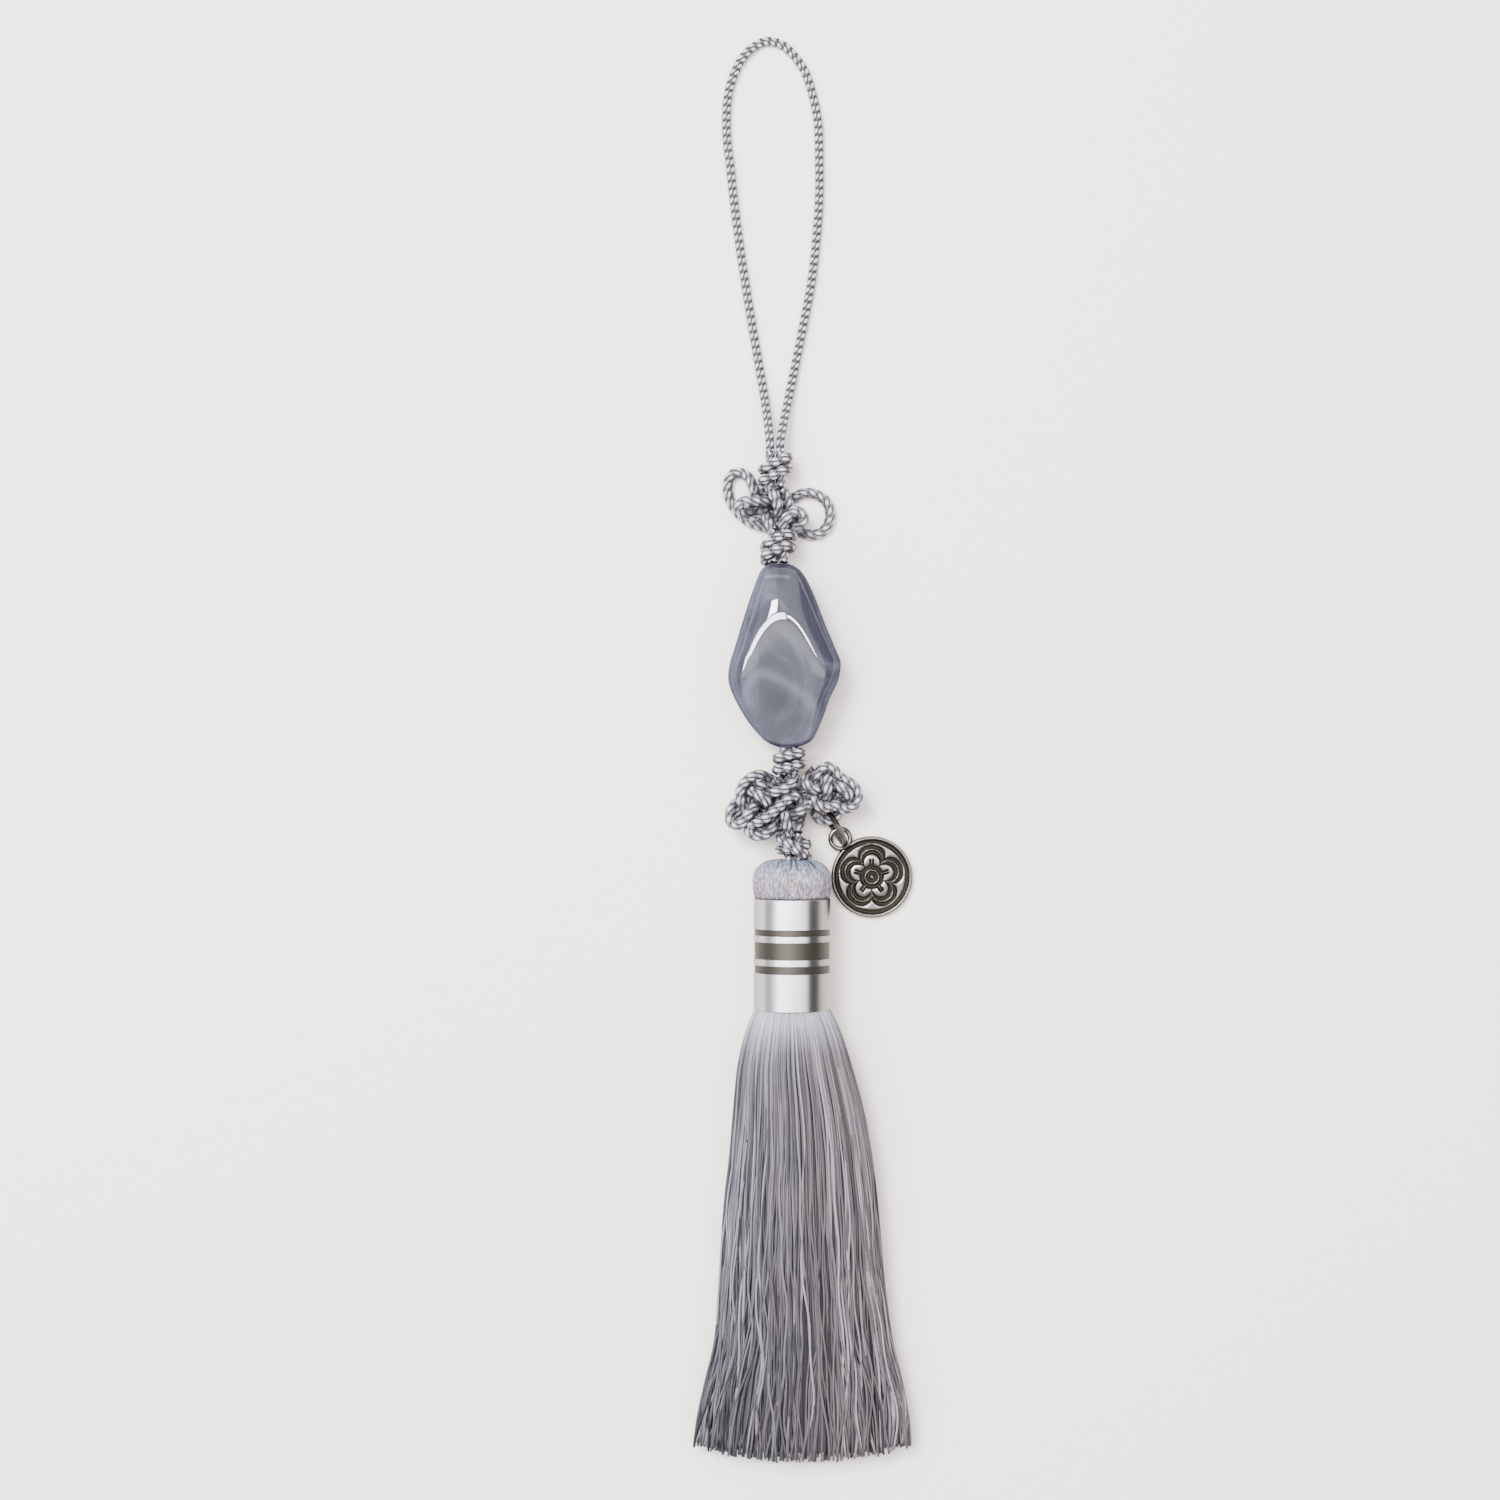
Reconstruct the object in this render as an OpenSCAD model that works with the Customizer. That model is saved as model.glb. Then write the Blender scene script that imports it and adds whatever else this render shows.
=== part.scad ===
// Norigae: a hanging ornament of knotted cord, a large bead, a small charm and a long tassel.
// It lies on its back on a flat surface. +Y points up the ornament and +Z away from the surface.
// The origin is under the middle of everything but the free loop of cord.

/* [Cord and knots] */
// Thickness of the braided cord
cord_d = 1.8; // [1.5:0.05:1.85]
// Height of the cord's middle where it enters the bead
cord_z = 7.7; // [7:0.1:8.5]
// Slope of the two bands across a tall collar knot
tall_rise = 2.6; // [1:0.1:3]
// Slope of the two bands across a flat collar knot
flat_rise = 1.2; // [0.6:0.1:1.6]

/* [Bead] */
// Width of the hole through the bead
bore_d = 3.4; // [3.3:0.1:4.5]
// Thickness of one strand inside the bead
thread_d = 1.5; // [1:0.05:1.6]

/* [Charm] */
// Width of the round charm
charm_d = 16.2; // [12:0.2:18]
// Thickness of the charm's plate
charm_t = 1.4; // [1:0.1:2.5]
// Width of the bail's hole
bail_hole_d = 3; // [2.8:0.1:3.1]
// Width of the jump ring from wire to wire
ring_d = 7.3; // [7:0.1:7.6]
// Thickness of the jump ring's wire
wire_d = 0.9; // [0.7:0.05:1]

/* [Tassel] */
// Width of the metal sleeve
sleeve_d = 15.2; // [15:0.1:15.6]
// Length of the metal sleeve
sleeve_l = 22; // [18:0.5:24]
// Thickness of the sleeve's wall
sleeve_wall = 0.6; // [0.4:0.1:0.8]
// Depth of the three dark bands in the sleeve
band_depth = 0.15; // [0.1:0.05:0.3]
// Locks of thread round the head
head_locks = 24; // [12:2:30]
// Locks of thread round the skirt
skirt_locks = 34; // [20:2:40]
// Depth of the furrow between two locks of the skirt
furrow = 0.6; // [0.2:0.1:1]

/* [Hidden] */

cord_colour = [0.70, 0.69, 0.76];
silver = [0.78, 0.78, 0.77];
old_silver = [0.55, 0.54, 0.50];
bead_colour = [0.50, 0.52, 0.60];
thread_colour = [0.66, 0.63, 0.69];

sides = 7;             // flat sides round a knotted cord
loop_sides = 8;        // flat sides round the free loop
gap = 0.1;             // space kept between two pieces that meet
core_x = 1.0;          // from the middle of a collar knot to each of the two cords inside it
lane = 1.12;           // half the distance between the two bands of a collar knot

// Where the knots stand
top_collar_at = [-5.3, 97, 5];
clover_at = [-6, 90, 0];
middle_collar_at = [-4.7, 81.45, 6.5];
middle_collar_tilt = 19;
lower_collar_at = [-2.6, 39.1, cord_z];
butterfly_at = [-2.3, 30.3, cord_z];
bottom_collar_at = [-1.75, 22.15, cord_z];

// Where the bead's hole opens above and below
bore_top = [-4.6, 78, cord_z];
bore_bottom = [-2.7, 41.9, cord_z];

// Where the charm, its bail and its ring lie
charm_at = [14, 16, 0];
bail_at = [7.7, 23.6, 1.25];
ring_at = [6.7, 25.9, 4.15];
ring_turn = 29;        // the standing ring's turn about the upright
ring_lean = 8;         // how far it leans from the upright

// Where the tassel's parts meet, along Y
sleeve_top = 12;
sleeve_r = sleeve_d / 2;
sleeve_bore_r = sleeve_r - sleeve_wall;
tassel_x = -2;
tassel_z = sleeve_r + 0.02;

// The free loop of cord, from the left leg at the top knot round to the right leg: x, y, z
loop_route = [
    [-6.3, 100.4, 5], [-6.4, 103, 4.6], [-6.9, 107.5, 3], [-7.6, 112.5, 1.6], [-9.3, 122.5, 1],
    [-10.8, 131.5, 1], [-12.4, 142, 1], [-13.6, 151.5, 1], [-14.3, 158, 1], [-14.9, 163, 1],
    [-15, 168, 1], [-14.5, 173, 1], [-12.8, 177.8, 1], [-10.9, 180.5, 1], [-8.9, 182.1, 1],
    [-6.8, 182.8, 1], [-4.7, 182.4, 1], [-2.5, 181, 1], [0.4, 177.2, 1], [2.2, 172, 1],
    [3.3, 166, 1], [3.5, 159, 1], [3.5, 151.5, 1], [2.9, 143, 1], [1.9, 134.5, 1], [0.5, 127, 1],
    [-0.9, 120, 1], [-2.4, 112.5, 1.6], [-3.4, 107.5, 3], [-4.2, 103, 4.6], [-4.3, 100.4, 5]];

// The double wrap of a collar knot, a closed route: x, z, share of half the rise, share of the lane
wrap_table = [
    [-3, 0, -1, -1], [-2.45, 1.45, -0.8, -1], [-1, 2.0, -0.35, -1], [1, 2.0, 0.35, -1],
    [2.45, 1.45, 0.8, -1], [3, 0, 1, -1], [2.45, -1.45, 0.8, -0.8], [1, -2.0, 0.35, -0.4],
    [-1, -2.0, -0.35, 0.4], [-2.45, -1.45, -0.8, 0.8], [-3, 0, -1, 1], [-2.45, 1.45, -0.8, 1],
    [-1, 2.0, -0.35, 1], [1, 2.0, 0.35, 1], [2.45, 1.45, 0.8, 1], [3, 0, 1, 1],
    [2.75, -2.1, 0.9, 0.9], [1.2, -3.85, 0.4, 0.45], [-1.2, -3.85, -0.4, -0.45],
    [-2.75, -2.1, -0.9, -0.9]];

// Cloverleaf knot, strand down the left: across, along, height above the surface
clover_left = [
    [-1.2, 3.0, 2.7], [-1.2, 2.3, 2.2], [-1.2, 1.6, 1.7], [-1.1, 0.6, 1.2], [-1.1, -0.4, 1.3],
    [-1.2, -1.4, 2.0], [-1.0, -2.4, 3.2], [-0.5, -3.5, 4.3], [0, -4.5, 5.1], [0.3, -5.15, 5.3]];

// Cloverleaf knot, strand down the middle
clover_middle = [
    [-0.3, 3.2, 5.1], [-0.1, 2.7, 5.45], [0.2, 2.1, 5.7], [0.8, 1.2, 5.7], [1.2, 0.1, 5.3],
    [1.4, -1.1, 4.6], [1.4, -2.2, 3.8], [1.4, -3.1, 3.4]];

// Cloverleaf knot, strand down the right, with both ears
clover_right = [
    [1.7, 3.25, 4.9], [2.3, 2.7, 4.4], [2.9, 1.9, 3.8], [3.2, 0.7, 3.5], [3.3, -0.5, 3.3],
    [3.4, -1.7, 2.9], [3.6, -2.9, 2.3], [4.2, -4.0, 1.8], [5.3, -4.9, 1.4], [6.7, -5.5, 1.1],
    [8.3, -5.8, 1.0], [10.2, -5.1, 1.0], [11.4, -3.4, 1.0], [11.7, -1.2, 1.0], [10.9, 0.9, 1.0],
    [9.2, 2.2, 1.0], [7.3, 2.7, 1.2], [5.6, 2.3, 1.3], [4.1, 1.4, 1.3], [2.8, 0.9, 1.4],
    [1.5, 0.8, 2.2], [0.2, 0.8, 3.1], [-1.1, 0.8, 3.8], [-2.5, 0.8, 4.3], [-4.0, 0.8, 4.6],
    [-5.2, 0.8, 4.5], [-6.2, 0.4, 4.2], [-6.6, -0.5, 3.8], [-6.2, -1.3, 3.3], [-5.2, -1.4, 2.7],
    [-4.3, -1.1, 2.1], [-3.6, -0.3, 1.7], [-3.2, 0.9, 1.7], [-3.3, 2.0, 2.1], [-3.5, 3.1, 2.3],
    [-3.9, 4.2, 2.1], [-4.4, 5.4, 1.7], [-5.3, 6.3, 1.3], [-6.6, 6.7, 1.0], [-7.9, 6.2, 1.0],
    [-8.7, 4.6, 1.0], [-8.7, 2.5, 1.0], [-7.9, 0.3, 1.0], [-6.4, -1.7, 1.0], [-4.7, -3.0, 1.0],
    [-3.2, -3.7, 1.1], [-1.8, -4.1, 1.3], [-0.5, -4.5, 1.5], [0.9, -5.0, 1.9], [2.1, -5.3, 2.5],
    [3.3, -5.2, 3.4], [4.4, -4.8, 4.2], [5.5, -4.2, 4.7], [6.3, -3.4, 5.0], [6.4, -2.4, 5.3],
    [5.7, -1.6, 5.6], [4.6, -1.4, 5.8], [3.7, -1.9, 6.0], [3.0, -2.7, 6.1], [2.5, -3.7, 5.9],
    [2.3, -4.6, 5.5], [2.3, -5.15, 5.3]];

// Butterfly knot, strand of the left wing's edge and the right wing's edge:
// across, along, height above the cord's middle
butterfly_edge = [
    [-1.3, 5.75, -0.2], [-1.5, 5.1, -1.1], [-2.6, 4.8, -2.1], [-4.0, 5.45, -2.1], [-5.4, 6.25, -1.0],
    [-6.9, 6.6, 0], [-8.9, 5.7, 0], [-10.3, 4.0, 0], [-10.7, 2.1, 0], [-10.3, 0.6, -0.2],
    [-9.4, -0.7, -0.9], [-8.0, -1.8, -1.1], [-6.4, -2.7, -1.2], [-4.8, -3.3, -2.0],
    [-2.8, -3.3, -3.0], [-1.2, -2.8, -2.1], [0.2, -2.2, -1.0], [1.4, -1.3, 0.3], [2.6, -0.4, 0.9],
    [3.8, 0.5, 0.4], [4.6, 1.6, -0.6], [4.9, 3.1, -1.3], [5.1, 4.6, -1.0], [5.6, 6.3, -0.2],
    [6.6, 7.8, 0], [8.0, 8.3, 0], [9.4, 7.6, 0], [10.3, 6.3, 0], [11.9, 5.4, 0], [13.5, 4.2, 0],
    [14.4, 2.3, 0], [14.0, 0.6, 0], [12.6, -0.5, 0], [11.0, -0.5, 0.3], [9.6, 0.1, 0.8],
    [8.2, -0.1, 1.0], [7.0, -0.3, 1.4], [5.9, 0.1, 1.9], [5.0, 0.9, 2.2], [4.3, 1.5, 2.2]];

// Butterfly knot, strand that weaves the left wing
butterfly_left = [
    [0.7, 5.8, 0.1], [0.6, 5.0, 0.6], [-0.3, 3.9, 1.2], [-1.6, 3.2, 1.5], [-3.0, 2.8, 1.4],
    [-4.2, 2.5, 0.6], [-5.1, 2.0, -0.4], [-6.0, 1.3, -1.0], [-6.9, 0.6, -0.8],
    [-7.6, -0.2, 0.3], [-8.6, -1.3, 1.1], [-9.5, -2.5, 1.3], [-10.4, -3.6, 0.9],
    [-11.4, -4.2, 0.4], [-12.4, -3.9, 0.1], [-12.9, -2.9, 0], [-12.9, -1.7, -0.1],
    [-12.5, -0.6, -0.6], [-11.7, 0.4, -1.6], [-10.6, 1.3, -2.6], [-9.7, 2.1, -2.9],
    [-9.0, 2.8, -2.3], [-8.6, 3.1, -1.0], [-7.9, 2.9, 0.4], [-6.9, 2.4, 1.3], [-5.9, 1.6, 1.6],
    [-5.0, 0.8, 1.3],
    [-4.0, -0.4, -0.4], [-3.4, -1.6, -1.1], [-3.2, -2.9, -0.8], [-3.5, -4.2, -0.3],
    [-4.3, -5.4, 0], [-5.6, -6.2, 0], [-7.0, -6.4, 0], [-8.1, -6.2, 0], [-8.9, -5.4, 0],
    [-8.9, -4.4, 0], [-8.1, -3.7, 0.3], [-7.1, -3.4, 0.8], [-6.1, -3.0, 1.1], [-5.0, -2.3, 1.4],
    [-3.7, -1.3, 1.6], [-2.4, -0.2, 1.6], [-1.2, 0.8, 1.5], [-0.2, 1.5, 1.1], [0.8, 1.9, 0.6], [1.7, 1.7, 0.1],
    [2.1, 0.8, -0.6], [2.1, -0.5, -1.6], [2.1, -1.9, -2.2], [1.9, -3.2, -1.7],
    [1.6, -4.5, -0.4], [1.55, -5.3, 0]];

// Butterfly knot, strand through the middle, round the back and up beside the collar knot
butterfly_middle = [
    [-0.45, -5.3, 0], [-0.5, -4.6, 0.3], [-0.8, -3.4, 0.9], [-1.1, -2.0, 0.8],
    [-1.5, -0.6, -0.2], [-2.1, 0.8, -1.1], [-2.8, 2.0, -1.3], [-3.7, 3.25, -1.4],
    [-4.7, 3.95, -1.0], [-5.8, 4.2, -0.7], [-6.7, 4.2, -1.1], [-7.0, 3.8, -2.2],
    [-7.0, 2.7, -3.3], [-6.7, 1.4, -3.9], [-5.8, 0.4, -4.0], [-4.2, 0.4, -4.0],
    [-2.6, 1.1, -4.0], [-1.1, 2.0, -4.0], [0.4, 2.6, -4.0], [2.0, 3.0, -3.9], [3.3, 3.9, -3.7],
    [3.9, 5.3, -3.2], [4.2, 6.6, -2.6], [5.0, 7.5, -2.2]];

// Butterfly knot, strand that weaves the right wing, down to the small loop that holds the ring
butterfly_right = [
    [2.65, 5.5, 0], [3.0, 4.7, 0.6], [3.7, 4.0, 1.1], [4.7, 3.5, 1.2], [5.6, 3.4, 0.8],
    [6.4, 3.5, 0], [7.1, 3.7, -0.8], [8.0, 4.0, -1.0], [8.9, 4.3, -0.4], [9.8, 4.3, 0.6],
    [11.0, 3.7, 1.3], [12.0, 2.8, 1.3], [12.4, 1.9, 0.5], [12.2, 1.5, -0.6], [11.6, 1.5, -1.7],
    [10.5, 2.1, -2.5], [9.4, 3.2, -3.0], [8.6, 4.7, -2.8], [8.2, 5.9, -1.9], [7.9, 6.2, -0.5],
    [7.8, 5.3, 0.9], [7.75, 4.0, 1.5], [7.75, 2.8, 1.4], [7.5, 1.8, 0.4], [7.0, 0.7, -0.9],
    [6.2, -0.4, -1.9], [5.4, -1.4, -2.6], [5.6, -2.4, -3.1], [6.5, -3.0, -3.2], [7.7, -3.1, -3.1],
    [8.9, -2.9, -2.8], [9.8, -2.3, -2.5], [10.2, -1.3, -2.3], [9.7, -0.2, -2.2], [8.8, 0.7, -2.3]];

// Bead, cut square to Y: y, left, right, top, bottom
bead_sections = [
    [41.9, -5.9, 0.3, 10.6, 4.8], [43.4, -7.7, 2.1, 12.3, 3], [46.9, -10.7, 3.8, 14, 1.2],
    [51.3, -13.3, 5.4, 15, 0.3], [55, -14.6, 7.1, 15.5, 0], [58.4, -14.3, 7.6, 15.6, 0],
    [61, -13.5, 6.7, 15.6, 0], [66, -12, 4.6, 15.2, 0.1], [71, -10.4, 2.7, 14.2, 0.8],
    [75.2, -8.9, 0.8, 12.6, 2.2], [78, -7.6, -1.4, 10.9, 4.6]];
bead_points = 16;
bead_fullness = 2.4;

// Head of the tassel: y, half width
head_sections = [
    [0.4, sleeve_bore_r - gap], [sleeve_top + 0.02, sleeve_bore_r - gap],
    [sleeve_top + gap, sleeve_r - 0.15], [sleeve_top + 0.8, sleeve_r], [sleeve_top + 2.8, 7.75],
    [sleeve_top + 4.6, 7.5], [sleeve_top + 6, 6.8], [sleeve_top + 6.9, 5.6],
    [sleeve_top + 7.3, 4]];
head_furrow = 0.25;

// Skirt of the tassel: y, left, right, top, bottom, furrow share, lift of the hem's corners
skirt_sections = [
    [0, tassel_x - 6.6, tassel_x + 6.6, 14.2, 1, 0, 0],
    [-10.1, tassel_x - 6.6, tassel_x + 6.6, 14.2, 1, 0, 0],
    [-10.4, -9.6, 5.7, 15.1, 0.1, 0.4, 0], [-12.4, -10.5, 6.8, 15.1, 0, 0.7, 0],
    [-15, -11.4, 7.9, 15, 0, 1, 0], [-21, -12.8, 9.8, 14.6, 0, 1, 0],
    [-29, -13.6, 12, 13.7, 0, 1, 0], [-38.5, -14.4, 13.8, 12.6, 0, 1, 0],
    [-49.5, -15.6, 15.1, 11.4, 0, 1, 0.1], [-63, -16.5, 16.3, 10.2, 0, 1, 0.2],
    [-75.5, -17.4, 18, 9.2, 0, 1, 0.6], [-84, -19.3, 20, 8.5, 0, 1, 1.2],
    [-92, -21, 21.4, 7.8, 0, 1.2, 2], [-99.4, -21.9, 21.8, 7, 0, 1.4, 3]];
skirt_fullness = 2.2;
hem_wave = 0.5;        // how far the locks' ends differ in length

// Smooth curve through the points of a route
function curve_point(a, b, c, d, t) =
    0.5 * (2 * b + (c - a) * t + (2 * a - 5 * b + 4 * c - d) * t * t
           + (3 * b - a - 3 * c + d) * t * t * t);

function open_curve(r, steps) = let (n = len(r)) [
    for (i = [0 : n - 2], k = [0 : steps - 1])
        curve_point(i == 0 ? 2 * r[0] - r[1] : r[i - 1], r[i], r[i + 1],
                    i == n - 2 ? 2 * r[n - 1] - r[n - 2] : r[i + 2], k / steps),
    r[n - 1]];

function closed_curve(r, steps) = let (n = len(r)) [
    for (i = [0 : n - 1], k = [0 : steps - 1])
        curve_point(r[(i + n - 1) % n], r[i], r[(i + 1) % n], r[(i + 2) % n], k / steps)];

// Directions along a path, and one crosswise direction that follows it without turning
function unit(v) = v / norm(v);
function directions(p, closed) = let (n = len(p)) [
    for (i = [0 : n - 1])
        unit(closed ? p[(i + 1) % n] - p[(i + n - 1) % n]
                    : p[min(i + 1, n - 1)] - p[max(i - 1, 0)])];
function across(v, dir) = unit(v - (v * dir) * dir);
function crosswise(t) = [
    for (i = 0, v = across([0, 0, 1], t[0]); i < len(t);
         i = i + 1, v = i < len(t) ? across(v, t[i]) : v) v];
function left_over_turn(t, w) =
    let (last = across(w[len(w) - 1], t[0]), side = cross(t[0], w[0]))
    atan2(last * side, last * w[0]);

// Rings of points round a path. A closed path spreads the turn that is left over along its length
function rings(p, d, n, closed) =
    let (t = directions(p, closed), w = crosswise(t),
         twist = closed ? left_over_turn(t, w) : 0)
    [for (i = [0 : len(p) - 1], j = [0 : n - 1])
        let (a = 360 * j / n - twist * i / len(p))
        p[i] + d / 2 * (cos(a) * w[i] + sin(a) * cross(t[i], w[i]))];

function skin(count, n, closed, first) = [
    for (i = [0 : count - (closed ? 1 : 2)], j = [0 : n - 1], half = [0, 1])
        let (a = first + i * n, b = first + ((i + 1) % count) * n, k = (j + 1) % n)
        half == 0 ? [a + j, b + j, b + k] : [a + j, b + k, a + k]];
function end_caps(count, n, first) = let (last = first + (count - 1) * n) concat(
    [for (j = [1 : n - 2]) [first, first + j, first + j + 1]],
    [for (j = [1 : n - 2]) [last, last + j + 1, last + j]]);

// One or more cords of one thickness: each entry is [path, closed]
module cords(list, d, n) {
    starts = [for (i = 0, s = 0; i < len(list); s = s + len(list[i][0]) * n, i = i + 1) s];
    polyhedron(
        points = [for (c = list) each rings(c[0], d, n, c[1])],
        faces = [for (i = [0 : len(list) - 1]) each concat(
            skin(len(list[i][0]), n, list[i][1], starts[i]),
            list[i][1] ? [] : end_caps(len(list[i][0]), n, starts[i]))]);
}

// Collar knot: two cords run through it, and a third stretch of cord is wrapped round them twice
function wrap_route(rise) = [for (w = wrap_table) [w[0], rise / 2 * w[2] + lane * w[3], w[1]]];
module collar_knot(rise, steps = 3) {
    half = rise / 2 + lane + cord_d / 2;
    color(cord_colour)
        cords([[closed_curve(wrap_route(rise), steps), true],
               [[[-core_x, half, 0], [-core_x, 0, 0], [-core_x, -half, 0]], false],
               [[[core_x, half, 0], [core_x, 0, 0], [core_x, -half, 0]], false]], cord_d, sides);
}

// A solid through cross-sections that are square to Y, each with rounded corners.
// Every lock is a low ridge of three points, and the floor cuts the ridges flat
function power(v, e) = sign(v) * pow(abs(v), e);
function section_ring(s, n, locks, depth, fullness, wave) = [
    for (j = [0 : n - 1])
        let (a = 360 * j / n,
             furrowed = locks > 0 && j % (n / locks) == 0 ? depth : 0,
             hw = (s[2] - s[1]) / 2 - furrowed, hh = (s[3] - s[4]) / 2 - furrowed,
             dx = power(cos(a), 2 / fullness), dz = power(sin(a), 2 / fullness),
             lock_end = locks > 0 ? wave * sin(137.5 * floor(j * locks / n)) : 0)
        [(s[1] + s[2]) / 2 + hw * dx, s[0] + lock_end, max(0, (s[3] + s[4]) / 2 + hh * dz)]];

module charm_flower(r) {
    for (i = [0 : 4]) rotate(72 * i + 90) translate([3.1, 0]) circle(r = r, $fn = 40);
}

module hanging_loop() {
    color(cord_colour) cords([[open_curve(loop_route, 2), false]], cord_d, loop_sides);
}

module top_collar_knot() { translate(top_collar_at) collar_knot(tall_rise); }

module cloverleaf_knot() {
    color(cord_colour) translate(clover_at)
        cords([[open_curve(clover_left, 2), false], [open_curve(clover_middle, 2), false],
               [open_curve(clover_right, 2), false]], cord_d, sides);
}

module middle_collar_knot() {
    translate(middle_collar_at) rotate([-middle_collar_tilt, 0, 0]) collar_knot(tall_rise);
}

module bead() {
    n = bead_points;
    count = len(bead_sections);
    way = bore_bottom - bore_top;
    color(bead_colour) difference() {
        polyhedron(
            points = [for (s = bead_sections) each section_ring(s, n, 0, 0, bead_fullness, 0)],
            faces = concat(skin(count, n, false, 0), end_caps(count, n, 0)));
        translate(bore_top - 0.05 * way) rotate([90, 0, atan2(way[0], -way[1])])
            cylinder(h = 1.1 * norm(way), d = bore_d, $fn = 48);
    }
}

module bead_thread() {
    way = bore_bottom - bore_top;
    inset = 0.15;          // the strands start this far inside the hole
    between = 0.14;        // space between the two strands
    color(cord_colour)
        for (side = [-1, 1]) translate(bore_top + inset * unit(way))
            rotate([90, 0, atan2(way[0], -way[1])])
                translate([side * (thread_d + between) / 2, 0, 0])
                    cylinder(h = norm(way) - gap, d = thread_d, $fn = 10);
}

module lower_collar_knot() { translate(lower_collar_at) collar_knot(flat_rise); }

module butterfly_knot() {
    color(cord_colour) translate(butterfly_at)
        cords([[open_curve(butterfly_edge, 2), false], [open_curve(butterfly_left, 2), false],
               [open_curve(butterfly_middle, 2), false], [open_curve(butterfly_right, 2), false]],
              cord_d, sides);
}

module bottom_collar_knot() {
    translate(bottom_collar_at) rotate([0, 180, 0]) collar_knot(flat_rise);
}

module jump_ring() {
    color(old_silver) translate(ring_at) rotate([90 + ring_lean, 0, 90 + ring_turn])
        rotate_extrude($fn = 48)
            translate([ring_d / 2, 0]) circle(d = wire_d, $fn = 24);
}

module charm() {
    r = charm_d / 2;
    rim_w = 0.6;
    groove_w = 0.6;
    color(old_silver) {
        translate(charm_at) {
            cylinder(h = charm_t - 0.5, r = r - rim_w, $fn = 96);
            rotate_extrude($fn = 96) translate([r - rim_w, 0]) square([rim_w, charm_t + 0.4]);
            translate([0, 0, charm_t - 0.6])
                cylinder(h = 0.6, r = r - rim_w - groove_w, $fn = 96);
            translate([0, 0, charm_t - 0.1]) {
                linear_extrude(0.45) difference() { charm_flower(2.6); charm_flower(2.1); }
                linear_extrude(0.45) difference() {
                    circle(r = 1.2, $fn = 40);
                    circle(r = 0.7, $fn = 40);
                }
            }
        }
        translate(bail_at) rotate_extrude($fn = 64)
            translate([bail_hole_d / 2, 0]) square([0.95, 0.9]);
    }
}

module tassel_head() {
    n = head_locks * 2;
    count = len(head_sections);
    color(thread_colour) polyhedron(
        points = [for (h = head_sections) each section_ring(
            [h[0], tassel_x - h[1], tassel_x + h[1], tassel_z + h[1], tassel_z - h[1]],
            n, head_locks, h[0] > sleeve_top ? head_furrow : 0, 2, 0)],
        faces = concat(skin(count, n, false, 0), end_caps(count, n, 0)));
}

module tassel_sleeve() {
    // start and width of each dark band, measured down from the sleeve's top
    bands = [[6.4, 1.0], [9.0, 3.1], [13.8, 1.0]];
    color(silver) translate([tassel_x, sleeve_top, tassel_z]) rotate([90, 0, 0]) difference() {
        cylinder(h = sleeve_l, r = sleeve_r, $fn = 128);
        translate([0, 0, -1]) cylinder(h = sleeve_l + 2, r = sleeve_bore_r, $fn = 128);
        for (b = bands) translate([0, 0, b[0]]) difference() {
            cylinder(h = b[1], r = sleeve_r + 1, $fn = 128);
            translate([0, 0, -1]) cylinder(h = b[1] + 2, r = sleeve_r - band_depth, $fn = 128);
        }
    }
}

module tassel_skirt() {
    n = skirt_locks * 3;
    count = len(skirt_sections);
    middle = count * n;
    color(thread_colour) polyhedron(
        points = concat(
            [for (s = skirt_sections) each [
                for (p = section_ring(s, n, skirt_locks, furrow * s[5], skirt_fullness,
                                      hem_wave * s[6]))
                    p + [0, s[6] * pow((p[0] - (s[1] + s[2]) / 2) / ((s[2] - s[1]) / 2), 2), 0]]],
            [[0, skirt_sections[count - 1][0] + 1.5, 3.5]]),
        faces = concat(
            skin(count, n, false, 0),
            [for (j = [1 : n - 2]) [0, j, j + 1]],
            [for (j = [0 : n - 1])
                [(count - 1) * n + j, middle, (count - 1) * n + (j + 1) % n]]));
}

hanging_loop();
top_collar_knot();
cloverleaf_knot();
middle_collar_knot();
bead();
bead_thread();
lower_collar_knot();
butterfly_knot();
bottom_collar_knot();
jump_ring();
charm();
tassel_head();
tassel_sleeve();
tassel_skirt();
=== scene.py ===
"""The looks of a norigae: braided cord and knots, a cloudy bead, a charm and a long thread tassel.

Every piece is a surface worked out on a grid or carried along a path. Routes and sections are in
millimetres in the part's own frame, as in the part's source, and become metres in the mesh.
"""

import math
from itertools import accumulate

import bpy
import numpy as np
from mathutils import Matrix, Vector


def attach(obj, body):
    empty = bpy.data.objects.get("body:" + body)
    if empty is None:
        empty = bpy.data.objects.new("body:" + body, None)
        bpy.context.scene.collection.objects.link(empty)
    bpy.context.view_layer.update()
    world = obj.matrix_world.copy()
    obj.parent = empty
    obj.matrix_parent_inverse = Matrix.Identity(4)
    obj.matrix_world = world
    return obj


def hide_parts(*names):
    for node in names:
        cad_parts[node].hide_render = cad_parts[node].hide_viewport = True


bl_info = {
    "name": "Norigae looks",
    "version": (1, 0, 0),
    "blender": (4, 5, 0),
    "location": "3D View > Sidebar > Norigae",
    "description": "Dresses the packed norigae with braid, bead, charm and tassel",
    "category": "Object",
}

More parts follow.
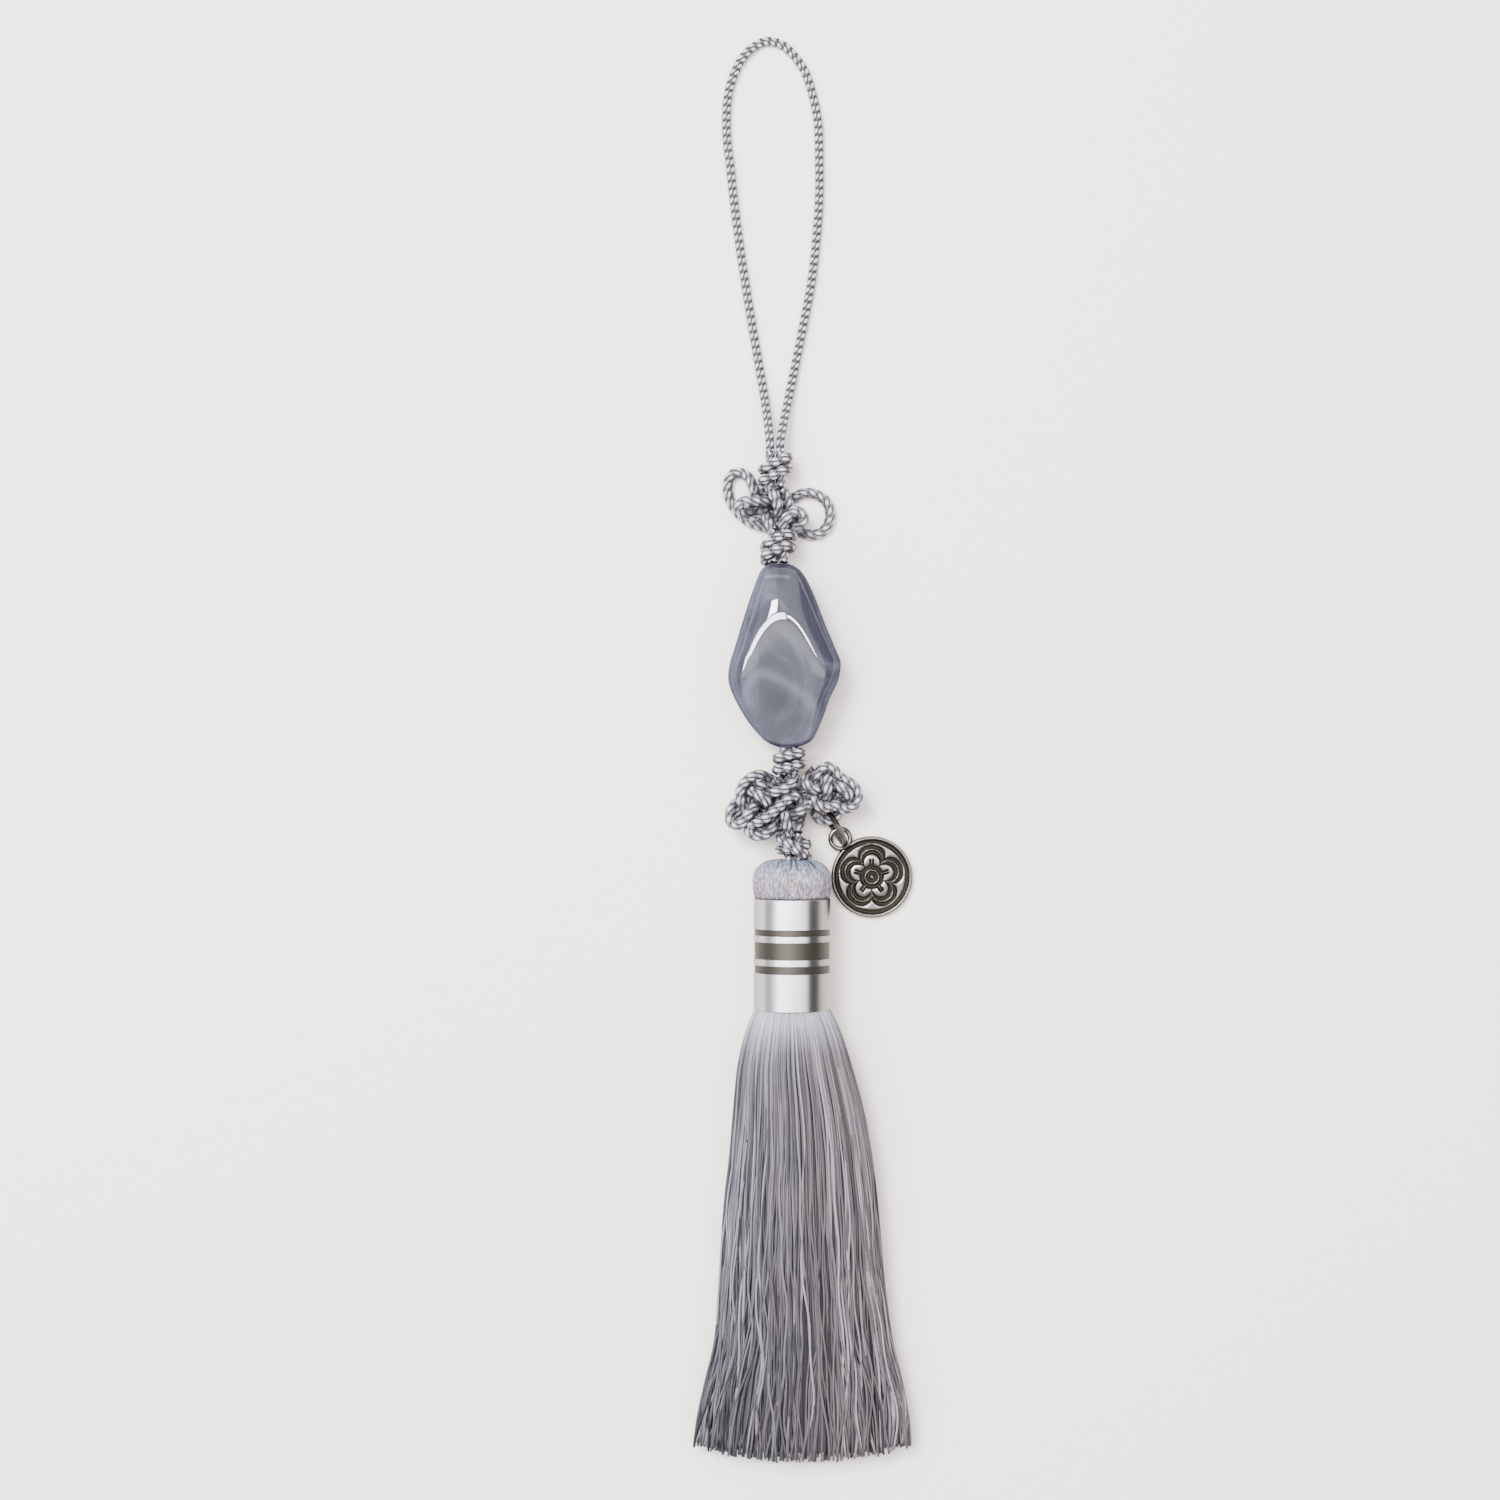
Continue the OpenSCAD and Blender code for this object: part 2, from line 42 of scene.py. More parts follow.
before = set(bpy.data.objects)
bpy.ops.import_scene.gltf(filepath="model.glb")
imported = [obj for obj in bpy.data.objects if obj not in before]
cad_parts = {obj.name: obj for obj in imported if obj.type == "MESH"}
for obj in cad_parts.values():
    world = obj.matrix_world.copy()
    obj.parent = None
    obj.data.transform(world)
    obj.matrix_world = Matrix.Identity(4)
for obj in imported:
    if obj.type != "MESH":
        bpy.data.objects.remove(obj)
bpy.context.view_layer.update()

MM = 0.001
TURN = 2 * math.pi

# The lowest points stand this far above the surface
FLOOR_GAP = 0.02

# Where things stand, in millimetres
CORD_Z = 7.7
TOP_COLLAR_AT = (-5.3, 97, 5)
CLOVER_AT = (-6, 90, 0)
MIDDLE_COLLAR_AT = (-4.7, 81.45, 6.5)
MIDDLE_COLLAR_TILT = 19
LOWER_COLLAR_AT = (-2.6, 39.1, CORD_Z)
BUTTERFLY_AT = (-2.3, 30.3, CORD_Z)
BOTTOM_COLLAR_AT = (-1.75, 22.15, CORD_Z)
BORE_TOP = (-4.6, 78, CORD_Z)
BORE_BOTTOM = (-2.7, 41.9, CORD_Z)
CHARM_AT = (14, 16, 0)
BAIL_AT = (7.7, 23.6, 1.7)
RING_AT = (6.7, 25.9, 4.15)
RING_TURN = 29
RING_LEAN = 8
SLEEVE_TOP = 12
SLEEVE_R = 7.6
TASSEL_X = -2
TASSEL_Z = SLEEVE_R + FLOOR_GAP
CORE_X = 1.0
LANE = 1.12
TALL_RISE = 2.6
FLAT_RISE = 1.2
CORD_D = 1.8

# Point of the surface in the middle of the picture
PICTURE_MIDDLE = (-10.3, 41.3)

# What the lamps are turned to, in metres
LAMPS_AIM = (-0.005, 0.04, 0)

# Rings of points in one turn of a braid's strand, and points in a ring
BRAID_ROWS = 20
BRAID_SIDES = 8

# Strands that climb each way round in a braid
BRAID_STRANDS = 5

# Points of a route between two rows of its table
ROUTE_STEPS = 8

# Step between the points that stand for a cord where others crowd it
CROWD_STEP = 0.5

# How far out each collar knot's wrap stands, as a share of its table, and how far the wings of the
# butterfly knot are pulled in
TOP_TIGHT, MIDDLE_TIGHT, LOWER_TIGHT, BOTTOM_TIGHT = 0.86, 0.92, 0.82, 0.9
WINGS_DRAWN = 0.07

# The free loop of cord, from the left leg round to the right leg: x, y, z
LOOP_ROUTE = [
    [-6.3, 100.4, 5], [-6.4, 103, 4.6], [-6.9, 107.5, 3], [-7.6, 112.5, 1.6], [-9.3, 122.5, 1],
    [-10.8, 131.5, 1], [-12.4, 142, 1], [-13.6, 151.5, 1], [-14.3, 158, 1], [-14.9, 163, 1],
    [-15, 168, 1], [-14.5, 173, 1], [-12.8, 177.8, 1], [-10.9, 180.5, 1], [-8.9, 182.1, 1],
    [-6.8, 182.8, 1], [-4.7, 182.4, 1], [-2.5, 181, 1], [0.4, 177.2, 1], [2.2, 172, 1],
    [3.3, 166, 1], [3.5, 159, 1], [3.5, 151.5, 1], [2.9, 143, 1], [1.9, 134.5, 1], [0.5, 127, 1],
    [-0.9, 120, 1], [-2.4, 112.5, 1.6], [-3.4, 107.5, 3], [-4.2, 103, 4.6], [-4.3, 100.4, 5]]

# The double wrap of a collar knot, a closed route: x, z, share of half the rise, share of the lane
WRAP_TABLE = [
    [-3, 0, -1, -1], [-2.45, 1.45, -0.8, -1], [-1, 2.0, -0.35, -1], [1, 2.0, 0.35, -1],
    [2.45, 1.45, 0.8, -1], [3, 0, 1, -1], [2.45, -1.45, 0.8, -0.8], [1, -2.0, 0.35, -0.4],
    [-1, -2.0, -0.35, 0.4], [-2.45, -1.45, -0.8, 0.8], [-3, 0, -1, 1], [-2.45, 1.45, -0.8, 1],
    [-1, 2.0, -0.35, 1], [1, 2.0, 0.35, 1], [2.45, 1.45, 0.8, 1], [3, 0, 1, 1],
    [2.75, -2.1, 0.9, 0.9], [1.2, -3.85, 0.4, 0.45], [-1.2, -3.85, -0.4, -0.45],
    [-2.75, -2.1, -0.9, -0.9]]

# Cloverleaf knot, strand down the left: across, along, height above the surface
CLOVER_LEFT = [
    [-1.2, 3.0, 2.7], [-1.2, 2.3, 2.2], [-1.2, 1.6, 1.7], [-1.1, 0.6, 1.2], [-1.1, -0.4, 1.3],
    [-1.2, -1.4, 2.0], [-1.0, -2.4, 3.2], [-0.5, -3.5, 4.3], [0, -4.5, 5.1], [0.3, -5.15, 5.3]]

# Cloverleaf knot, strand down the middle
CLOVER_MIDDLE = [
    [-0.3, 3.2, 5.1], [-0.1, 2.7, 5.45], [0.2, 2.1, 5.7], [0.8, 1.2, 5.7], [1.2, 0.1, 5.3],
    [1.4, -1.1, 4.6], [1.4, -2.2, 3.8], [1.4, -3.1, 3.4]]

# Cloverleaf knot, strand down the right, with both ears
CLOVER_RIGHT = [
    [1.7, 3.25, 4.9], [2.3, 2.7, 4.4], [2.9, 1.9, 3.8], [3.2, 0.7, 3.5], [3.3, -0.5, 3.3],
    [3.4, -1.7, 2.9], [3.6, -2.9, 2.3], [4.2, -4.0, 1.8], [5.3, -4.9, 1.4], [6.7, -5.5, 1.1],
    [8.3, -5.8, 1.0], [10.2, -5.1, 1.0], [11.4, -3.4, 1.0], [11.7, -1.2, 1.0], [10.9, 0.9, 1.0],
    [9.2, 2.2, 1.0], [7.3, 2.7, 1.2], [5.6, 2.3, 1.3], [4.1, 1.4, 1.3], [2.8, 0.9, 1.4],
    [1.5, 0.8, 2.2], [0.2, 0.8, 3.1], [-1.1, 0.8, 3.8], [-2.5, 0.8, 4.3], [-4.0, 0.8, 4.6],
    [-5.2, 0.8, 4.5], [-6.2, 0.4, 4.2], [-6.6, -0.5, 3.8], [-6.2, -1.3, 3.3], [-5.2, -1.4, 2.7],
    [-4.3, -1.1, 2.1], [-3.6, -0.3, 1.7], [-3.2, 0.9, 1.7], [-3.3, 2.0, 2.1], [-3.5, 3.1, 2.3],
    [-3.9, 4.2, 2.1], [-4.4, 5.4, 1.7], [-5.3, 6.3, 1.3], [-6.6, 6.7, 1.0], [-7.9, 6.2, 1.0],
    [-8.7, 4.6, 1.0], [-8.7, 2.5, 1.0], [-7.9, 0.3, 1.0], [-6.4, -1.7, 1.0], [-4.7, -3.0, 1.0],
    [-3.2, -3.7, 1.1], [-1.8, -4.1, 1.3], [-0.5, -4.5, 1.5], [0.9, -5.0, 1.9], [2.1, -5.3, 2.5],
    [3.3, -5.2, 3.4], [4.4, -4.8, 4.2], [5.5, -4.2, 4.7], [6.3, -3.4, 5.0], [6.4, -2.4, 5.3],
    [5.7, -1.6, 5.6], [4.6, -1.4, 5.8], [3.7, -1.9, 6.0], [3.0, -2.7, 6.1], [2.5, -3.7, 5.9],
    [2.3, -4.6, 5.5], [2.3, -5.15, 5.3]]

# Butterfly knot, strand of the left wing's edge and the right wing's edge:
# across, along, height above the cord's middle
BUTTERFLY_EDGE = [
    [-1.3, 5.75, -0.2], [-1.5, 5.1, -1.1], [-2.6, 4.8, -2.1], [-4.0, 5.45, -2.1], [-5.4, 6.25, -1.0],
    [-6.9, 6.6, 0], [-8.9, 5.7, 0], [-10.3, 4.0, 0], [-10.7, 2.1, 0], [-10.3, 0.6, -0.2],
    [-9.4, -0.7, -0.9], [-8.0, -1.8, -1.1], [-6.4, -2.7, -1.2], [-4.8, -3.3, -2.0],
    [-2.8, -3.3, -3.0], [-1.2, -2.8, -2.1], [0.2, -2.2, -1.0], [1.4, -1.3, 0.3], [2.6, -0.4, 0.9],
    [3.8, 0.5, 0.4], [4.6, 1.6, -0.6], [4.9, 3.1, -1.3], [5.1, 4.6, -1.0], [5.6, 6.3, -0.2],
    [6.6, 7.8, 0], [8.0, 8.3, 0], [9.4, 7.6, 0], [10.3, 6.3, 0], [11.9, 5.4, 0], [13.5, 4.2, 0],
    [14.4, 2.3, 0], [14.0, 0.6, 0], [12.6, -0.5, 0], [11.0, -0.5, 0.3], [9.6, 0.1, 0.8],
    [8.2, -0.1, 1.0], [7.0, -0.3, 1.4], [5.9, 0.1, 1.9], [5.0, 0.9, 2.2], [4.3, 1.5, 2.2]]

# Butterfly knot, strand that weaves the left wing
BUTTERFLY_LEFT = [
    [0.7, 5.8, 0.1], [0.6, 5.0, 0.6], [-0.3, 3.9, 1.2], [-1.6, 3.2, 1.5], [-3.0, 2.8, 1.4],
    [-4.2, 2.5, 0.6], [-5.1, 2.0, -0.4], [-6.0, 1.3, -1.0], [-6.9, 0.6, -0.8],
    [-7.6, -0.2, 0.3], [-8.6, -1.3, 1.1], [-9.5, -2.5, 1.3], [-10.4, -3.6, 0.9],
    [-11.4, -4.2, 0.4], [-12.4, -3.9, 0.1], [-12.9, -2.9, 0], [-12.9, -1.7, -0.1],
    [-12.5, -0.6, -0.6], [-11.7, 0.4, -1.6], [-10.6, 1.3, -2.6], [-9.7, 2.1, -2.9],
    [-9.0, 2.8, -2.3], [-8.6, 3.1, -1.0], [-7.9, 2.9, 0.4], [-6.9, 2.4, 1.3], [-5.9, 1.6, 1.6],
    [-5.0, 0.8, 1.3],
    [-4.0, -0.4, -0.4], [-3.4, -1.6, -1.1], [-3.2, -2.9, -0.8], [-3.5, -4.2, -0.3],
    [-4.3, -5.4, 0], [-5.6, -6.2, 0], [-7.0, -6.4, 0], [-8.1, -6.2, 0], [-8.9, -5.4, 0],
    [-8.9, -4.4, 0], [-8.1, -3.7, 0.3], [-7.1, -3.4, 0.8], [-6.1, -3.0, 1.1], [-5.0, -2.3, 1.4],
    [-3.7, -1.3, 1.6], [-2.4, -0.2, 1.6], [-1.2, 0.8, 1.5], [-0.2, 1.5, 1.1],
    [0.8, 1.9, 0.6], [1.7, 1.7, 0.1],
    [2.1, 0.8, -0.6], [2.1, -0.5, -1.6], [2.1, -1.9, -2.2], [1.9, -3.2, -1.7],
    [1.6, -4.5, -0.4], [1.55, -5.3, 0]]

# Butterfly knot, strand through the middle, round the back and up beside the collar knot
BUTTERFLY_MIDDLE = [
    [-0.45, -5.3, 0], [-0.5, -4.6, 0.3], [-0.8, -3.4, 0.9], [-1.1, -2.0, 0.8],
    [-1.5, -0.6, -0.2], [-2.1, 0.8, -1.1], [-2.8, 2.0, -1.3], [-3.7, 3.25, -1.4],
    [-4.7, 3.95, -1.0], [-5.8, 4.2, -0.7], [-6.7, 4.2, -1.1], [-7.0, 3.8, -2.2],
    [-7.0, 2.7, -3.3], [-6.7, 1.4, -3.9], [-5.8, 0.4, -4.0], [-4.2, 0.4, -4.0],
    [-2.6, 1.1, -4.0], [-1.1, 2.0, -4.0], [0.4, 2.6, -4.0], [2.0, 3.0, -3.9], [3.3, 3.9, -3.7],
    [3.9, 5.3, -3.2], [4.2, 6.6, -2.6], [5.0, 7.5, -2.2]]

# Butterfly knot, strand that weaves the right wing, down to the small loop that holds the ring
BUTTERFLY_RIGHT = [
    [2.65, 5.5, 0], [3.0, 4.7, 0.6], [3.7, 4.0, 1.1], [4.7, 3.5, 1.2], [5.6, 3.4, 0.8],
    [6.4, 3.5, 0], [7.1, 3.7, -0.8], [8.0, 4.0, -1.0], [8.9, 4.3, -0.4], [9.8, 4.3, 0.6],
    [11.0, 3.7, 1.3], [12.0, 2.8, 1.3], [12.4, 1.9, 0.5], [12.2, 1.5, -0.6], [11.6, 1.5, -1.7],
    [10.5, 2.1, -2.5], [9.4, 3.2, -3.0], [8.6, 4.7, -2.8], [8.2, 5.9, -1.9], [7.9, 6.2, -0.5],
    [7.8, 5.3, 0.9], [7.75, 4.0, 1.5], [7.75, 2.8, 1.4], [7.5, 1.8, 0.4], [7.0, 0.7, -0.9],
    [6.2, -0.4, -1.9], [5.4, -1.4, -2.6], [5.6, -2.4, -3.1], [6.5, -3.0, -3.2], [7.7, -3.1, -3.1],
    [8.9, -2.9, -2.8], [9.8, -2.3, -2.5], [10.2, -1.3, -2.3], [9.7, -0.2, -2.2], [8.8, 0.7, -2.3]]

# Passes of cord that close both knots from below
CLOVER_UNDER = [
    [[-5.6, -2.0, 1.4], [-4.3, -2.6, 1.3], [-2.8, -2.4, 1.3], [-1.2, -2.0, 1.3], [0.6, -1.6, 1.3],
     [2.4, -2.2, 1.3], [4.2, -2.4, 1.4], [5.6, -2.2, 1.6]],
    [[-2.9, 2.6, 1.3], [-1.6, 1.6, 1.3], [0.2, 0.4, 1.3], [1.9, -0.6, 1.3]]]
BUTTERFLY_UNDER = [
    [[-12.0, -3.2, -1.2], [-11.4, -1.9, -1.4], [-10.8, -0.6, -1.6], [-9.9, 0.6, -1.8]],
    [[-9.6, 5.0, -1.6], [-8.0, 4.6, -2.0], [-8.6, 2.6, -2.4], [-8.8, 1.0, -2.2], [-7.6, -0.4, -2.4],
     [-6.1, -0.9, -2.6], [-4.4, -0.4, -2.8]],
    [[-8.2, -5.0, -1.6], [-6.8, -5.1, -1.8], [-5.0, -4.9, -1.8], [-3.4, -4.6, -1.8],
     [-1.8, -4.2, -1.9], [-0.2, -3.6, -2.2]],
    [[-1.4, -1.0, -3.0], [0, 0.1, -3.0], [1.6, 1.2, -3.0], [3.0, 2.4, -3.0], [3.9, 3.0, -3.0]],
    [[3.2, -0.2, -2.6], [4.4, 1.0, -2.8], [5.4, 2.2, -3.2]],
    [[10.2, 2.6, -1.2], [9.9, 1.2, -1.4], [8.6, 1.0, -1.4]]]

# Bead, cut square to Y: y, left, right, top, bottom
BEAD_SECTIONS = [
    [41.9, -5.9, 0.3, 10.6, 4.8], [43.4, -7.7, 2.1, 12.3, 3], [46.9, -10.7, 3.8, 14, 1.2],
    [51.3, -13.3, 5.4, 15, 0.3], [55, -14.6, 7.1, 15.5, 0], [58.4, -14.3, 7.6, 15.6, 0],
    [61, -13.5, 6.7, 15.6, 0], [66, -12, 4.6, 15.2, 0.1], [71, -10.4, 2.7, 14.2, 0.8],
    [75.2, -8.9, 0.8, 12.6, 2.2], [78, -7.6, -1.4, 10.9, 4.6]]
BEAD_FULLNESS = 2.4
BORE_R = 1.7

# Flats that were ground into the bead's upper side: height at its corner, slopes along X and Y,
# and the corner's x and y
BEAD_FLATS = [
    [15.5, 0.0, 0.1, -4, 72.5], [15.5, 0.42, -0.16, -4, 72.5], [15.5, -0.5, -0.16, -4, 72.5],
    [13.5, 0.08, 0.34, -4, 51]]

# Height of the bead's middle, above which its flats are ground
BEAD_MIDDLE_Z = 7.8

# Radius over which the bead's ends are rounded
BEAD_END_R = 1.6

# A pale swirl inside the bead: x, y
BEAD_SWIRL = [
    [-10.6, 50.5], [-11.0, 53.2], [-9.8, 55.6], [-7.6, 56.3], [-4.6, 55], [-0.4, 52.4], [2.2, 49.6],
    [2.6, 47], [1.8, 44.6]]

# Outline of the tassel's head: y, radius
HEAD_PROFILE = [
    [9.5, 6.8], [11.4, 6.85], [12.05, 7.3], [12.7, 7.55], [14.8, 7.8], [16.6, 7.65], [18.0, 7.0],
    [19.0, 5.9], [19.55, 4.6], [19.7, 3.4], [19.5, 2.4], [19.0, 1.4], [18.4, 0.6], [18.2, 0.05]]

# Dark grooves of the sleeve: distance from its top, width
SLEEVE_GROOVES = [[6.0, 1.1], [8.5, 3.2], [13.1, 1.4]]

# Skirt of the tassel: y, left, right, top, bottom
SKIRT_SECTIONS = [
    [-8, -8.6, 4.6, 14.2, 1], [-10.1, -8.9, 4.9, 14.5, 0.8], [-10.8, -9.6, 5.7, 15.1, 0.1],
    [-12.4, -10.5, 6.8, 15.1, 0], [-15, -11.4, 7.9, 15, 0], [-21, -12.8, 9.8, 14.6, 0],
    [-29, -13.6, 12, 13.7, 0], [-38.5, -14.4, 13.8, 12.6, 0], [-49.5, -15.6, 15.1, 11.4, 0],
    [-63, -16.5, 16.3, 10.2, 0], [-75.5, -17.4, 18, 9.2, 0], [-84, -19.3, 20, 8.5, 0],
    [-92, -21, 21.4, 7.8, 0], [-99.4, -21.9, 21.8, 7, 0]]
SKIRT_FULLNESS = 2.2
SKIRT_TOP = -8.5
HEM = -99.2
HEM_LIFT = 3.2

# Light of the room from the left, 0, to the right, 1: place, colour
ROOM = [
    (0.0, (0.19, 0.195, 0.205)), (0.05, (0.18, 0.19, 0.2)), (0.085, (0.18, 0.19, 0.2)),
    (0.12, (0.92, 0.96, 1.0)), (0.8, (0.97, 0.96, 0.94)), (0.85, (0.8, 0.78, 0.74)),
    (0.875, (0.05, 0.045, 0.038)), (0.97, (0.05, 0.045, 0.038)), (1.0, (0.2, 0.19, 0.175))]

# The same from the front, 0, to the back, 1
ROOM_DEPTH = [
    (0.0, (0.42, 0.42, 0.43)), (0.42, (0.42, 0.42, 0.43)), (0.445, (1, 1, 1)), (0.5, (1, 1, 1)),
    (0.53, (0.42, 0.42, 0.43)), (1.0, (0.42, 0.42, 0.43))]


def colour_setting(name, description, default):
    """A colour among the settings"""
    return bpy.props.FloatVectorProperty(
        name=name, description=description, default=default, subtype="COLOR", size=3)


def length_setting(name, description, default_mm):
    """A length among the settings, given in millimetres"""
    return bpy.props.FloatProperty(
        name=name, description=description, default=default_mm * MM, unit="LENGTH", precision=5)


def amount_setting(name, description, default):
    """A plain number among the settings"""
    return bpy.props.FloatProperty(name=name, description=description, default=default)


def number_setting(name, description, default, least, most):
    """A whole number among the settings"""
    return bpy.props.IntProperty(
        name=name, description=description, default=default, min=least, max=most)


class CordLook(bpy.types.PropertyGroup):
    """The braid that every cord and knot is made of"""

    pitch: length_setting("Pitch", "Length in which one strand goes once round the cord", 7.6)
    reach: length_setting("Reach", "From the cord's middle to the middle of its strands", 0.6)
    weave: length_setting(
        "Weave", "How far a strand rises and dips as it passes over and under", 0.15)
    strand_width: length_setting("Strand width", "Width of one flat strand", 0.76)
    strand_thickness: length_setting("Strand thickness", "Thickness of one flat strand", 0.44)
    loop_swell: amount_setting(
        "Swell of the loop", "How much the braid of the free loop is filled out", 1.0)
    knot_swell: amount_setting(
        "Swell in knots", "How much thicker the cord looks where it is knotted", 1.2)
    light: colour_setting(
        "Light threads", "Colour of the threads that lie on top", (0.66, 0.615, 0.70))
    # painted shade: this colour is painted where the strands sink towards the cord's middle
    deep: colour_setting(
        "Deep threads", "Colour of the threads down between the strands", (0.02, 0.017, 0.024))


class BeadLook(bpy.types.PropertyGroup):
    """The cloudy bead"""

    body: colour_setting(
        "Body", "Colour of the bead where it is clear of clouds", (0.034, 0.034, 0.05))
    cloud: colour_setting(
        "Clouds", "Colour of the pale clouds and swirls inside the bead", (0.095, 0.10, 0.14))
    ridge_softness: length_setting(
        "Ridge softness", "How broadly the ridge between two flats is rounded", 0.42)


class MetalLook(bpy.types.PropertyGroup):
    """The sleeve, the charm and its ring"""

    bright: colour_setting("Bright metal", "Colour of the polished sleeve", (0.74, 0.755, 0.77))
    aged: colour_setting(
        "Aged metal", "Colour of the charm where it is rubbed bright", (0.18, 0.173, 0.16))
    patina: colour_setting(
        "Patina", "Colour of the dark metal in the charm's hollows", (0.022, 0.019, 0.014))
    charm_radius: length_setting("Charm radius", "Radius of the round charm", 8.1)
    wire_radius: length_setting("Wire radius", "Radius of the jump ring's wire", 0.52)


class TasselLook(bpy.types.PropertyGroup):
    """The threads of the tassel"""

    outer_threads: number_setting(
        "Outer threads", "Number of threads in the skirt's outer layer", 180, 100, 700)
    inner_threads: number_setting(
        "Inner threads", "Number of threads under the outer layer", 330, 100, 700)
    stray_threads: number_setting(
        "Stray threads", "Number of loose threads that cross the others", 210, 0, 300)
    locks: number_setting(
        "Locks", "Number of locks that the skirt's threads gather in", 120, 20, 200)
    thread_radius: length_setting("Thread radius", "Radius of one thread of the skirt", 0.26)
    cool: colour_setting("Cool threads", "Colour of the threads on the left", (0.042, 0.039, 0.05))
    warm: colour_setting("Warm threads", "Colour of the threads on the right", (0.08, 0.062, 0.07))
    head_cool: colour_setting(
        "Cool threads of the head", "Colour of the head's bluer threads", (0.19, 0.172, 0.21))
    head_warm: colour_setting(
        "Warm threads of the head", "Colour of the head's pinker threads", (0.245, 0.19, 0.21))
    head_top: colour_setting(
        "Top of the head", "Colour of the head's threads next to the knot", (0.135, 0.185, 0.31))


class StageLook(bpy.types.PropertyGroup):
    """Floor, lights and camera"""

    floor: colour_setting(
        "Floor", "Colour of the surface that the ornament lies on", (0.99, 0.91, 0.85))
    camera_height: length_setting(
        "Camera height", "Height of the camera straight above the ornament", 600)
    room_light: amount_setting("Room light", "Strength of the light that comes from all round", 3.1)
    lens: amount_setting("Lens", "Focal length in millimetres on a 36 mm sensor", 72)


LOOKS = {
    "norigae_cord": CordLook, "norigae_bead": BeadLook, "norigae_metal": MetalLook,
    "norigae_tassel": TasselLook, "norigae_stage": StageLook}


def look(name):
    """The settings of one group, such as cord or tassel"""
    return getattr(bpy.context.scene, "norigae_" + name)


# Curves and surfaces

def curve_through(points, steps, closed=False):
    """The cubic curve through the points whose slope at each point is half the step from the point
    before it to the point after it."""
    p = np.array(points, float)
    if closed:
        before, here, after, beyond = np.roll(p, 1, 0), p, np.roll(p, -1, 0), np.roll(p, -2, 0)
    else:
        wide = np.vstack([2 * p[0] - p[1], p, 2 * p[-1] - p[-2]])
        before, here, after, beyond = wide[:-3], wide[1:-2], wide[2:-1], wide[3:]
    t = (np.arange(steps) / steps)[None, :, None]
    a, b, c, d = (x[:, None, :] for x in (before, here, after, beyond))
    curve = 0.5 * (2 * b + (c - a) * t + (2 * a - 5 * b + 4 * c - d) * t ** 2
                   + (3 * b - a - 3 * c + d) * t ** 3)
    curve = curve.reshape(-1, p.shape[1])
    return curve if closed else np.vstack([curve, p[-1:]])


def even_steps(path, step, closed=False):
    """The same path with its points a step apart along it, and each point's distance from the
    start. A closed path doesn't repeat its first point."""
    p = np.vstack([path, path[:1]]) if closed else path
    along = np.concatenate([[0], np.cumsum(np.linalg.norm(np.diff(p, axis=0), axis=1))])
    count = max(2, round(along[-1] / step))
    at = np.linspace(0, along[-1], count, endpoint=False) if closed else np.linspace(
        0, along[-1], count + 1)
    return np.stack([np.interp(at, along, p[:, k]) for k in range(p.shape[1])], 1), at, along[-1]


def unit(v):
    """Each vector divided by its length"""
    return v / np.maximum(np.linalg.norm(v, axis=-1, keepdims=True), 1e-12)


def carried_frame(path, closed=False):
    """Direction of the path at each point, and two directions square to it that turn with the path
    and not about it. On a closed path the turn left over at its end is spread along it."""
    if closed:
        along = unit(np.roll(path, -1, 0) - np.roll(path, 1, 0))
    else:
        along = unit(np.gradient(path, axis=0))
    start = np.cross(along[0], (0.31, 0.2, 0.93))

    def carry(side, direction):
        side = side - direction * np.dot(side, direction)
        return side / np.linalg.norm(side)

    side = np.array(list(accumulate(along, carry, initial=unit(start))))[1:]
    up = np.cross(along, side)
    if closed:
        last = carry(side[-1], along[0])
        over = math.atan2(np.dot(last, up[0]), np.dot(last, side[0]))
        turn = (-over * np.arange(len(path)) / len(path))[:, None]
        side, up = side * np.cos(turn) + up * np.sin(turn), up * np.cos(turn) - side * np.sin(turn)
    return along, side, up


def tube_faces(rows, sides, closed, first=0):
    """Corner numbers of the quads of a tube, whose rings of points follow one another. A closed
    tube's last ring is joined to its first. An open tube gets a lid on each end, of strips across
    its ring, which has an even number of points."""
    i, j = np.meshgrid(np.arange(rows if closed else rows - 1), np.arange(sides), indexing="ij")
    here, after, turned = i * sides, (i + 1) % rows * sides, (j + 1) % sides
    quads = np.stack([here + j, after + j, after + turned, here + turned], -1).reshape(-1, 4)
    if not closed:
        k = np.arange(sides // 2 - 1)
        lid = np.stack([k, k + 1, sides - 2 - k, sides - 1 - k], 1)
        quads = np.vstack([quads, lid, lid[:, ::-1] + (rows - 1) * sides])
    return quads + first


